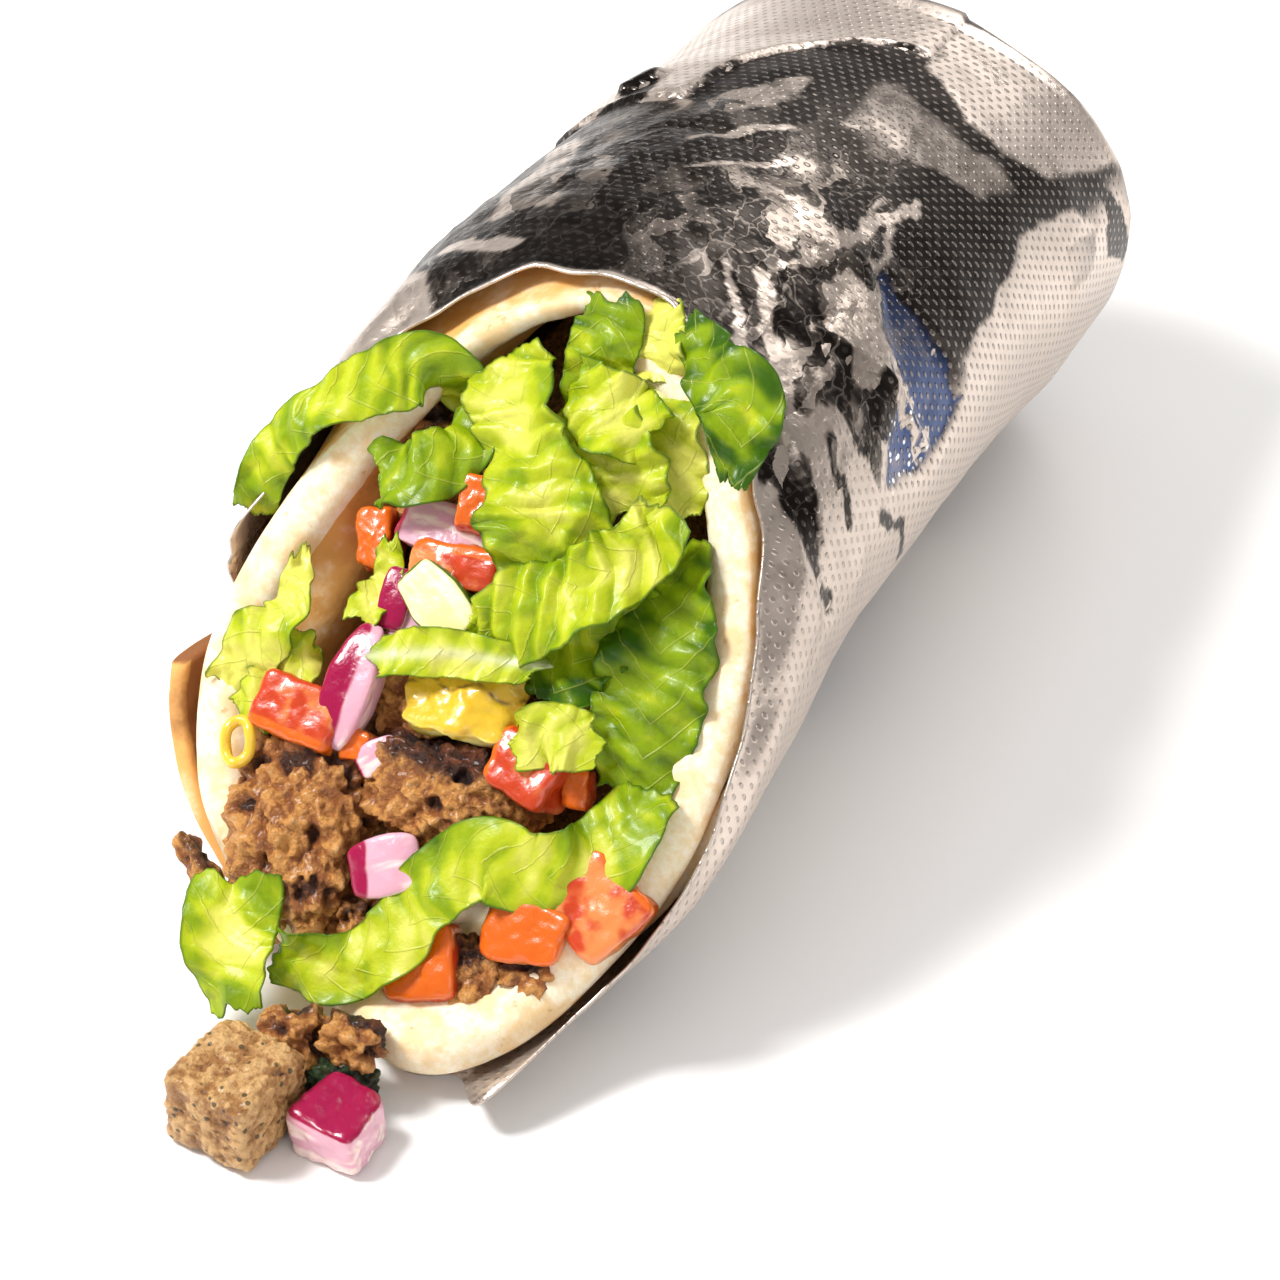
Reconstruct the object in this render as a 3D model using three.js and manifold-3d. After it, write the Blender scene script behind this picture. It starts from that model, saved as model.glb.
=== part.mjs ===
import * as THREE from "three";
import { mergeVertices } from "three/addons/utils/BufferGeometryUtils.js";
import Module from "manifold-3d";

// Gyro wrap lying on its side, millimetres. +Z up, the open mouth toward -Y, the closed tail toward +Y.
// The origin is on the floor under the middle of the wrap.

// Cross-section of the foil: half width, half height, at the mouth, the middle and the tail.
const STATION_Y = [-75, 0, 75];
const HALF_WIDTH = [39.2, 38.8, 36.5];
const HALF_HEIGHT = [37.5, 38.2, 31.5];
const SINK = 0.6;                    // depth of the flat the wrap rests on

// The lower right side is pressed a little flatter behind the mouth.
const PRESSED_ANGLE = -27;
const PRESSED_SPREAD = 30;
const PRESSED_Y = [-60, -44, -28, -12, 0, 30, 44, 60];
const PRESSED_DEPTH = [0, 1.4, 2.8, 4.0, 3.9, 3.6, 3.0, 1.5];

// Mouth plane: the wrap is cut open on a slope, top edge far back, bottom lip far forward.
const MOUTH_CENTRE = new THREE.Vector3(0, -52, 37);
const MOUTH_TILT = 44;               // degrees between the mouth's normal and the horizontal

// Foil cup.
const FOIL_THICKNESS = 0.7;
const FOIL_RECESS = 2.0;             // how far the foil's edge stays behind the bread's edge
const FOIL_AROUND = 34;
const FOIL_ALONG = 12;
const FOIL_CAP_RINGS = 4;
const TAIL_Y = 77;                   // where the side turns into the closed end
const TAIL_BULGE = 6;

// Flat bread, rolled one and two thirds times round; angles along the roll in degrees.
const ROLL_START = 78;
const ROLL_END = 606;
const ROLL_STEPS = 54;
const BREAD_THICK = 6.0;
const BREAD_THIN = 2.4;
const BREAD_TAIL_Y = 68;
const LIP_REACH = 5.5;               // how far the bottom lip juts out of the mouth plane
const INNER_FOLD = 8;                // how far the bread's inside bulges in on the left

const GAP = 0.3;                     // clearance between touching pieces
const CUT_TOLERANCE = 0.15;          // slivers smaller than this are merged after a cut
const FILLING_DEPTH = 13;            // how far the packed filling stays behind the mouth plane
const FILLING_RADIUS = 28.2;
const FILLING_HOLLOW = 12;           // extra depth of the hollow on the left
const LEAF_THICKNESS = 0.8;
const LEAF_STEPS = 9;
const LEAF_LANES = 3;

const rad = THREE.MathUtils.degToRad;
const wasm = await Module();
wasm.setup();

const MATERIALS = {
  foil: new THREE.MeshStandardMaterial({ color: 0x8d8782, roughness: 0.35, metalness: 1.0 }),
  bread: new THREE.MeshStandardMaterial({ color: 0xf3dfb6, roughness: 0.85, metalness: 0.0 }),
  meat: new THREE.MeshStandardMaterial({ color: 0x8a5a38, roughness: 0.75, metalness: 0.0 }),
  lettuce: new THREE.MeshStandardMaterial({ color: 0x9bc01e, roughness: 0.45, metalness: 0.0 }),
  tomato: new THREE.MeshStandardMaterial({ color: 0xe06030, roughness: 0.35, metalness: 0.0 }),
  onion: new THREE.MeshStandardMaterial({ color: 0xb04a86, roughness: 0.35, metalness: 0.0 }),
  cucumber: new THREE.MeshStandardMaterial({ color: 0xe4eab0, roughness: 0.4, metalness: 0.0 }),
  pepper: new THREE.MeshStandardMaterial({ color: 0xecc93a, roughness: 0.4, metalness: 0.0 }),
  herb: new THREE.MeshStandardMaterial({ color: 0x2a4016, roughness: 0.6, metalness: 0.0 }),
  filling: new THREE.MeshStandardMaterial({ color: 0x4a3220, roughness: 0.85, metalness: 0.0 }),
};

// Value at x on the line through the knots.
function along(knots, values, x) {
  if (x <= knots[0]) return values[0];
  for (let i = 1; i < knots.length; i += 1) {
    if (x <= knots[i]) {
      return THREE.MathUtils.lerp(values[i - 1], values[i], (x - knots[i - 1]) / (knots[i] - knots[i - 1]));
    }
  }
  return values[values.length - 1];
}

function bump(x, centre, width) {
  const d = (x - centre) / width;
  return Math.exp(-d * d);
}

// Point at an angle and radius about the wrap's axis; the radius is scaled to the section there.
function onSection(angle, radius, y) {
  const wide = along(STATION_Y, HALF_WIDTH, y) / HALF_WIDTH[1];
  const high = along(STATION_Y, HALF_HEIGHT, y) / HALF_WIDTH[1];
  const centre = along(STATION_Y, HALF_HEIGHT, y) - SINK;
  const off = THREE.MathUtils.euclideanModulo(angle - PRESSED_ANGLE + 180, 360) - 180;
  const pressed = along(PRESSED_Y, PRESSED_DEPTH, y) * bump(off, 0, PRESSED_SPREAD);
  const reach = radius * (1 - pressed / HALF_WIDTH[1]);
  const across = wide * reach * Math.cos(rad(angle));
  return new THREE.Vector3(across, y, centre + high * reach * Math.sin(rad(angle)));
}

// How far back the mouth plane is at a height.
function mouthY(z) {
  return MOUTH_CENTRE.y + (z - MOUTH_CENTRE.z) / Math.tan(rad(90 - MOUTH_TILT));
}

// Mouth frame: x to the right, y up the slope, z out of the mouth.
const MOUTH_FRAME = new THREE.Matrix4()
  .makeRotationX(rad(90 - MOUTH_TILT))
  .setPosition(MOUTH_CENTRE);

// Slow wobble between -1 and 1, the same for the same place and seed.
function wobble(x, y, z, seed) {
  return (
    Math.sin(1.7 * x + 2.3 * y + 1.1 * seed) +
    Math.sin(2.9 * y - 1.3 * z + 2.7 * seed) +
    Math.sin(3.1 * z + 1.9 * x + 0.6 * seed)
  ) / 3;
}

// Merge seams, drop collapsed triangles and hand the mesh over as a solid.
function toSolid(source) {
  const bare = source.clone();
  bare.deleteAttribute("normal");
  bare.deleteAttribute("uv");
  const merged = mergeVertices(bare, 1e-4);
  const index = merged.index.array;
  const kept = [];
  for (let i = 0; i < index.length; i += 3) {
    const [a, b, c] = [index[i], index[i + 1], index[i + 2]];
    if (a !== b && b !== c && c !== a) kept.push(a, b, c);
  }
  const make = (triangles) => new wasm.Manifold(new wasm.Mesh({
    numProp: 3,
    vertProperties: new Float32Array(merged.attributes.position.array),
    triVerts: new Uint32Array(triangles),
  }));
  const solid = make(kept);
  if (solid.volume() > 0) return solid;
  const flipped = [];
  for (let i = 0; i < kept.length; i += 3) flipped.push(kept[i], kept[i + 2], kept[i + 1]);
  return make(flipped);
}

function largest(solid) {
  const bodies = solid.decompose();
  let best = bodies[0];
  for (const body of bodies) {
    if (body.volume() > best.volume()) best = body;
  }
  return best;
}

function toMesh(name, slot, solid) {
  const raw = solid.getMesh();
  const geometry = new THREE.BufferGeometry();
  geometry.setAttribute("position", new THREE.BufferAttribute(new Float32Array(raw.vertProperties), 3));
  geometry.setIndex(new THREE.BufferAttribute(new Uint32Array(raw.triVerts), 1));
  geometry.computeVertexNormals();
  const mesh = new THREE.Mesh(geometry, MATERIALS[slot]);
  mesh.name = name;
  return mesh;
}

// Closed sheet: a plane grid for each face, split alike, and a strip round the border.
function sheetSolid(across, lengthwise, place) {
  const plane = new THREE.PlaneGeometry(1, 1, across, lengthwise);
  const uv = plane.attributes.uv;
  const count = uv.count;
  const points = new Float32Array(count * 6);
  for (let i = 0; i < count; i += 1) {
    place(uv.getX(i), uv.getY(i), 1).toArray(points, i * 3);
    place(uv.getX(i), uv.getY(i), -1).toArray(points, (count + i) * 3);
  }
  const triangles = [];
  const index = plane.index.array;
  for (let i = 0; i < index.length; i += 3) {
    triangles.push(index[i], index[i + 1], index[i + 2]);
    triangles.push(count + index[i], count + index[i + 2], count + index[i + 1]);
  }
  const row = across + 1;
  const border = [];
  for (let x = 0; x < across; x += 1) border.push(x);
  for (let y = 0; y < lengthwise; y += 1) border.push(y * row + across);
  for (let x = across; x > 0; x -= 1) border.push(lengthwise * row + x);
  for (let y = lengthwise; y > 0; y -= 1) border.push(y * row);
  for (let i = 0; i < border.length; i += 1) {
    const a = border[i];
    const b = border[(i + 1) % border.length];
    triangles.push(a, b, count + b, a, count + b, count + a);
  }
  const geometry = new THREE.BufferGeometry();
  geometry.setAttribute("position", new THREE.BufferAttribute(points, 3));
  geometry.setAttribute("uv", new THREE.BufferAttribute(new Float32Array(count * 4), 2));
  geometry.setAttribute("normal", new THREE.BufferAttribute(new Float32Array(count * 6), 3));
  geometry.setIndex(triangles);
  return toSolid(geometry);
}

// Foil

// Dents and ridges of the crumpled foil, mostly outward.
function foilRelief(angle, y) {
  const around = rad(angle);
  const crumple = 0.45 * Math.sin(5 * around + y / 7) + 0.4 * Math.sin(8 * around - y / 11 + 1.3);
  const pinch = 0.35 * Math.sin(3 * around + y / 4.5);
  const groove = -0.7 * bump(y, 2 + 0.5 * (angle - 40), 6) * bump(angle, 30, 26);
  return Math.max(-0.25, 0.45 + crumple + pinch + groove);
}

function foilEdgeY(angle) {
  const z = onSection(angle, HALF_WIDTH[1] - 2, MOUTH_CENTRE.y).z;
  const tip = -9 * bump(angle, -58, 9);
  const turned = angle > 90 ? angle - 360 : angle;
  const { smoothstep } = THREE.MathUtils;
  const bare = 10 * (1 - smoothstep(turned, -92, -80)) * smoothstep(turned, -190, -168);
  const forward = -2.4 * (1 - smoothstep(angle, 20, 60)) * smoothstep(angle, -100, -60);
  const torn = 0.7 * Math.sin(angle / 4) + 0.5 * Math.sin(angle / 2.3);
  return mouthY(z) + FOIL_RECESS + tip + bare + forward + torn;
}

// How far the foil is drawn in to the bread near its edge, on the right and below.
function foilHug(angle, behindEdge) {
  const drawn = along([-50, -42, -15, 5, 40, 75], [0, 1.0, 2.0, 2.7, 2.5, 0], angle);
  return drawn * bump(Math.max(behindEdge, 0), 0, 8);
}

function foilPoint(angle, v, inset, grow) {
  const sideShare = FOIL_ALONG / (FOIL_ALONG + FOIL_CAP_RINGS);
  const wrapped = angle > 180 ? angle - 360 : angle;
  const lift = 2 * bump(wrapped, 125, 34);
  let y = TAIL_Y;
  let radius = HALF_WIDTH[1];
  if (v <= sideShare) {
    y = THREE.MathUtils.lerp(foilEdgeY(wrapped) - grow, TAIL_Y + lift, v / sideShare);
    radius += foilRelief(wrapped, y) - foilHug(wrapped, y - foilEdgeY(wrapped)) - inset;
  } else {
    const turn = (v - sideShare) / (1 - sideShare);
    const pleat = 1.1 * Math.sin(rad(5 * wrapped)) * turn * (1 - turn);
    y = TAIL_Y + lift * (1 - turn) + (TAIL_BULGE - inset) * Math.sin(rad(90 * turn)) + 3 * pleat;
    radius = (radius + foilRelief(wrapped, TAIL_Y) - inset) * Math.cos(rad(90 * turn)) ** 0.55;
    if (turn > 0.999) radius = 0;
  }
  const section = Math.min(y, STATION_Y[2]);
  const point = onSection(wrapped, radius, section);
  point.y = y;
  point.z = Math.max(point.z, inset);
  return point;
}

function foilCup(grow) {
  const rows = FOIL_ALONG + FOIL_CAP_RINGS;
  const plane = new THREE.PlaneGeometry(1, 1, FOIL_AROUND, 2 * rows + 1);
  const { position, uv } = plane.attributes;
  for (let i = 0; i < position.count; i += 1) {
    const angle = -180 + 360 * (uv.getX(i) % 1);
    const row = Math.round(uv.getY(i) * (2 * rows + 1));
    const outer = row > rows;
    const v = outer ? (row - rows - 1) / rows : (rows - row) / rows;
    const point = foilPoint(angle, v, outer ? -grow : FOIL_THICKNESS + grow, grow);
    position.setXYZ(i, point.x, point.y, point.z);
  }
  return toSolid(plane);
}

// Bread

// Outer radius of the rolled bread at the mouth and deep inside, by the turn along the roll.
const ROLL_KNOTS = [
  0, 72, 93, 120, 137, 150, 160, 185, 204, 219, 234, 244,
  256, 268, 284, 306, 323, 340, 360, 540, 568, 582, 594, 606,
];
const ROLL_MOUTH = [
  34.6, 34.8, 35.8, 36.6, 38.3, 37.2, 35.6, 34.2, 34.6, 37.0, 38.2, 38.2,
  36.8, 34.8, 33.4, 32.0, 34.2, 36.0, 37.3, 37.4, 38.6, 40.4, 41.4, 42.2,
];
const BODY_KNOTS = [0, 235, 260, 280, 307, 323, 340, 606];
const ROLL_BODY = [34.6, 34.6, 35.6, 36.4, 36.9, 37.2, 37.3, 37.3];

function breadThickness(turn) {
  return along(
    [0, 30, 55, 120, 160, 285, 350],
    [6.0, 6.2, 7.4, 7.4, BREAD_THICK, BREAD_THICK, BREAD_THIN],
    turn,
  );
}

// How far the inside of the bread bulges in, by the turn along the roll.
function innerFold(turn) {
  return INNER_FOLD * (bump(turn, 262, 30) + 0.6 * bump(turn, 322, 16));
}

function breadRadius(turn, behindEdge) {
  const depth = along([200, 214, 268, 330, 375, 540, 575], [12, 14, 28, 28, 8, 8, 16], turn);
  const deep = THREE.MathUtils.smoothstep(behindEdge, 1, depth);
  return THREE.MathUtils.lerp(along(ROLL_KNOTS, ROLL_MOUTH, turn), along(BODY_KNOTS, ROLL_BODY, turn), deep);
}

function breadPoint(turn, t, side, grow) {
  const angle = ROLL_START - turn;
  const radiusAtMouth = along(ROLL_KNOTS, ROLL_MOUTH, turn);
  const outerTurn = along([330, 370, 400, 440, 505, 545, 575, 600], [0, 4, 8, 10, 10, 8, 5, 1], turn);
  const recess = outerTurn - LIP_REACH * bump(turn, 153, 22);
  const rough = 0.5 * Math.sin(turn / 11) + 0.35 * Math.sin(turn / 4.7);
  const edge = mouthY(onSection(angle, radiusAtMouth - 2, MOUTH_CENTRE.y).z) + recess + rough;
  const y = THREE.MathUtils.lerp(edge - grow, BREAD_TAIL_Y + grow, t);
  const fold = 0.3 * wobble(turn / 20, y / 13, 0, 5);
  const outer = breadRadius(turn, y - edge) + Math.min(0, fold) + grow;
  const wall = breadThickness(turn) + innerFold(turn) * THREE.MathUtils.smoothstep(y - edge, 0, 14);
  const radius = side > 0 ? outer : outer - wall - 2 * grow;
  const point = onSection(angle, radius, y);
  point.z = Math.max(point.z, FOIL_THICKNESS + 0.4 - grow);
  return point;
}

function breadRoll(grow) {
  return sheetSolid(ROLL_STEPS, 5, (u, v, side) => {
    const turn = THREE.MathUtils.lerp(-2 * grow, ROLL_END + 2 * grow, u);
    return breadPoint(turn, v ** 1.6, side, grow);
  });
}

// Packed filling behind the shown pieces.
function fillingCore(grow) {
  const cylinder = new THREE.CylinderGeometry(1, 1, 1, 30, 4);
  const position = cylinder.attributes.position;
  for (let i = 0; i < position.count; i += 1) {
    const x = position.getX(i);
    const z = position.getZ(i);
    const t = position.getY(i) + 0.5;
    const angle = THREE.MathUtils.radToDeg(Math.atan2(z, x));
    const turn = ((ROLL_START - angle) % 360 + 360) % 360;
    const share = Math.hypot(x, z);
    const wall = breadThickness(turn) + 1 + innerFold(turn);
    const tightest = Math.min(along(ROLL_KNOTS, ROLL_MOUTH, turn), along(BODY_KNOTS, ROLL_BODY, turn));
    const near = Math.min(FILLING_RADIUS, tightest - wall);
    const reach = share * (near + grow);
    const left = bump((angle + 360) % 360, 165, 34) * THREE.MathUtils.smoothstep(share, 0.45, 0.9);
    const depth = (FILLING_DEPTH + FILLING_HOLLOW * left) / Math.cos(rad(MOUTH_TILT));
    const front = mouthY(onSection(angle, reach, MOUTH_CENTRE.y).z) + depth;
    const y = THREE.MathUtils.lerp(front - grow, BREAD_TAIL_Y - 3 + grow, t);
    const point = onSection(angle, reach, y);
    position.setXYZ(i, point.x, point.y, point.z);
  }
  return toSolid(cylinder);
}

// Piece shapes, each built in its own frame and placed in the mouth frame.

function placed(solid, { at, turn = 0, tip = 0, lean = 0 }, frame) {
  const local = new THREE.Matrix4()
    .makeRotationFromEuler(new THREE.Euler(rad(tip), rad(lean), rad(turn), "ZXY"))
    .setPosition(...at);
  return solid.transform(frame.clone().multiply(local).elements);
}

// Rounded lump: square 2 is an ellipsoid, higher is boxier; crag is the depth of its roughness.
function lump({ size, square = 3, crag = 0.08, seed = 1, detail = 2 }, grow) {
  const ball = new THREE.IcosahedronGeometry(1, detail);
  const position = ball.attributes.position;
  const normal = new THREE.Vector3();
  for (let i = 0; i < position.count; i += 1) {
    normal.fromBufferAttribute(position, i).normalize();
    const [ax, ay, az] = [Math.abs(normal.x), Math.abs(normal.y), Math.abs(normal.z)];
    const reach = (ax ** square + ay ** square + az ** square) ** (-1 / square);
    const rough = 1 + crag * wobble(4 * normal.x, 4 * normal.y, 4 * normal.z, seed);
    normal.multiplyScalar(reach * rough);
    position.setXYZ(
      i,
      normal.x * (size[0] / 2 + grow),
      normal.y * (size[1] / 2 + grow),
      normal.z * (size[2] / 2 + grow),
    );
  }
  return toSolid(ball);
}

// Slab bent round a cylinder along x, with tapered ends: onion layers, cut rounds, pepper strips.
function bentSlab({ size, radius = 12, taper = 0.25 }, grow) {
  const box = new THREE.BoxGeometry(1, 1, 1, 5, 3, 1);
  const position = box.attributes.position;
  for (let i = 0; i < position.count; i += 1) {
    const x = position.getX(i) * (size[0] + 2 * grow);
    const narrow = 1 - taper * (2 * position.getX(i)) ** 2;
    const y = position.getY(i) * (size[1] + 2 * grow) * narrow;
    const z = position.getZ(i) * (size[2] + 2 * grow);
    const angle = x / radius;
    position.setXYZ(i, (radius + z) * Math.sin(angle), y, (radius + z) * Math.cos(angle) - radius);
  }
  return toSolid(box);
}

// Small ring.
function ring({ size, thick }, grow) {
  const torus = new THREE.TorusGeometry(1, 0.5, 5, 12);
  const position = torus.attributes.position;
  for (let i = 0; i < position.count; i += 1) {
    const x = position.getX(i);
    const y = position.getY(i);
    const distance = Math.hypot(x, y);
    const reach = (distance - 1) * 2 * (thick / 2 + grow);
    position.setXYZ(
      i,
      (x / distance) * (size[0] / 2 - thick / 2 + reach),
      (y / distance) * (size[1] / 2 - thick / 2 + reach),
      position.getZ(i) * 2 * (thick / 2 + grow),
    );
  }
  return toSolid(torus);
}

// Leaf: a thin wavy sheet along a path, with its width at even steps; ruffle waves its edges.
function leaf({ path, width, roll = 0, ruffle = 1, waves = 2, seed = 0, ends = 0.9 }, grow) {
  const curve = new THREE.CatmullRomCurve3(path.map((p) => new THREE.Vector3(...p)), false, "centripetal");
  const outward = new THREE.Vector3(0, 0, 1);
  const widthKnots = width.map((_, i) => i / (width.length - 1));
  const middle = (u, v) => {
    const t = THREE.MathUtils.clamp(u, 0, 1);
    const centre = curve.getPointAt(t);
    const tangent = curve.getTangentAt(t);
    const side = new THREE.Vector3().crossVectors(tangent, outward).normalize();
    side.applyAxisAngle(tangent, rad(roll + 16 * Math.sin(Math.PI * waves * t + 1.7 * seed)));
    const up = new THREE.Vector3().crossVectors(side, tangent);
    const full = 1 - (1 - ends) * Math.abs(2 * t - 1) ** 8;
    const half = (along(widthKnots, width, t) / 2) * full * (1 + 0.08 * Math.sin(9 * t + seed)) + grow;
    const s = 2 * v - 1;
    const wave = ruffle * Math.abs(s) ** 1.4 * Math.sin(2 * Math.PI * waves * t + seed + 1.3 * s);
    return centre.addScaledVector(side, s * half).addScaledVector(up, wave);
  };
  const step = 0.02;
  return sheetSolid(LEAF_LANES, LEAF_STEPS, (v, u, face) => {
    const t = THREE.MathUtils.clamp(u, step, 1 - step);
    const w = THREE.MathUtils.clamp(v, step, 1 - step);
    const du = middle(t + step, w).sub(middle(t - step, w));
    const dv = middle(t, w + step).sub(middle(t, w - step));
    const normal = new THREE.Vector3().crossVectors(du, dv).normalize();
    return middle(u, v).addScaledVector(normal, face * (LEAF_THICKNESS / 2 + grow));
  });
}

const SHAPES = { lump, bentSlab, ring, leaf };
const FLOOR_FRAME = new THREE.Matrix4();

// Pieces in the mouth frame, [right, up the slope, out] in millimetres, front ones after those they lie on.
const MEAT = [
  ["meat_front_left", { size: [28, 18, 17], at: [-17.2, -25.2, -3.5], turn: 103, seed: 1 }],
  ["meat_charred", { size: [21, 14, 15], at: [0.3, -14.8, -3], turn: 8, seed: 2 }],
  ["meat_middle", { size: [9, 11, 9], at: [-9, -5.6, -4.5], turn: 30, seed: 3, detail: 1 }],
  ["meat_dark_middle", { size: [8, 13, 12], at: [8.6, -11.5, -4], turn: 10, seed: 4, detail: 1 }],
  ["meat_front_right", { size: [9, 10, 9], at: [11.8, -35.5, -1], turn: 20, seed: 5, detail: 1 }],
  ["meat_dark_front", { size: [9, 6.5, 8], at: [18.8, -33, -1], turn: 15, seed: 6, detail: 1 }],
  ["meat_right_edge", { size: [6.5, 10, 9], at: [25.6, -13.6, -4], turn: 20, seed: 7, detail: 1 }],
  ["meat_back", { size: [12, 9, 8], at: [-16.5, 28.5, -8], turn: 15, seed: 8, detail: 1 }],
  ["meat_back_low", { size: [13, 8, 8], at: [-13.5, 20.5, -6], turn: 10, seed: 15, detail: 1 }],
  ["meat_crumb_front", { size: [10, 7, 8], at: [-6.5, -34, -2.5], seed: 9, detail: 1 }],
  ["meat_in_fold", { size: [9.5, 3.4, 5], at: [-28.4, -33.4, 0], turn: -35, seed: 16, detail: 1 }],
];

const VEGETABLES = [
  ["tomato_left", "tomato", "lump", {
    size: [11.5, 7.8, 6.5], at: [-19.8, -11, 1.5], turn: -4, square: 4, crag: 0.03, seed: 1,
    detail: 1,
  }],
  ["tomato_back_left", "tomato", "lump", {
    size: [5, 8, 6], at: [-19.8, 12.8, -4], turn: 15, square: 4, crag: 0.03, seed: 2, detail: 1,
  }],
  ["tomato_slice", "tomato", "lump", {
    size: [12.5, 6, 5], at: [-6.2, 12.4, 1], turn: 8, lean: -5, square: 4, crag: 0.03, seed: 3,
    detail: 1,
  }],
  ["tomato_upper", "tomato", "lump", {
    size: [7, 4.5, 5], at: [-6.7, 20.7, 0], turn: 100, square: 4, crag: 0.03, seed: 4, detail: 1,
  }],
  ["tomato_sliver", "tomato", "lump", {
    size: [8, 4, 4], at: [16, 2.4, 0], turn: 80, square: 4, crag: 0.03, seed: 5, detail: 1,
  }],
  ["tomato_pink", "tomato", "lump", {
    size: [9.5, 8.5, 6], at: [11.6, -8.4, 1.5], turn: -8, square: 4, crag: 0.03, seed: 6, detail: 1,
  }],
  ["tomato_chip", "tomato", "lump", {
    size: [3.5, 5, 4], at: [17.6, -9.6, 0], turn: 10, square: 4, crag: 0.03, seed: 7, detail: 1,
  }],
  ["tomato_skin_left", "tomato", "lump", {
    size: [10, 9.5, 6], at: [5.5, -36.3, 2], turn: 20, square: 4, crag: 0.03, seed: 8, detail: 1,
  }],
  ["tomato_skin_middle", "tomato", "lump", {
    size: [11, 8, 6], at: [17.4, -28, 2], turn: 2, square: 4, crag: 0.03, seed: 9, detail: 1,
  }],
  ["tomato_front_right", "tomato", "lump", {
    size: [11, 11.5, 7], at: [25, -22.6, 1], turn: 60, square: 4, crag: 0.03, seed: 10, detail: 1,
  }],
  ["tomato_small", "tomato", "lump", {
    size: [4, 4.5, 4], at: [-12.2, -13, 1], square: 4, crag: 0.03, seed: 11, detail: 1,
  }],
  ["tomato_deep", "tomato", "lump", {
    size: [6.5, 5, 5], at: [9.6, 38.4, -5], square: 4, crag: 0.03, seed: 12, detail: 1,
  }],
  ["onion_white", "onion", "bentSlab", {
    size: [13.5, 7, 3], radius: 14, at: [-10, 16.4, -0.5], tip: -15,
  }],
  ["onion_strip", "onion", "bentSlab", {
    size: [7.5, 4.2, 3], radius: 12, at: [-13, 6.3, 1], turn: 95,
  }],
  ["onion_wedge", "onion", "bentSlab", {
    size: [16, 6.6, 4.6], radius: 20, at: [-14.6, -6, 2.5], turn: 88, taper: 0.55,
  }],
  ["onion_pink", "onion", "bentSlab", { size: [7, 4.5, 3], radius: 12, at: [-9.8, 3.6, 0], turn: 10 }],
  ["onion_front", "onion", "bentSlab", { size: [9, 8, 3.5], radius: 12, at: [-2.2, -26, 4], turn: 30 }],
  ["onion_small", "onion", "bentSlab", {
    size: [5.5, 4.5, 3], radius: 10, at: [-8.5, -13.3, 1.5], turn: 45,
  }],
  ["cucumber_piece", "cucumber", "bentSlab", {
    size: [11, 7.5, 5], radius: 60, at: [-6.4, 7.4, 2.6], turn: -30, taper: 0.35,
  }],
  ["pepper_strip", "pepper", "bentSlab", {
    size: [15, 10, 3.6], radius: 16, at: [0.4, -3.2, 2.6], turn: 5, tip: -12,
  }],
  ["pepper_ring", "pepper", "ring", { size: [5, 7], thick: 1.5, at: [-26.6, -17, 4], turn: 10 }],
];

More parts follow.
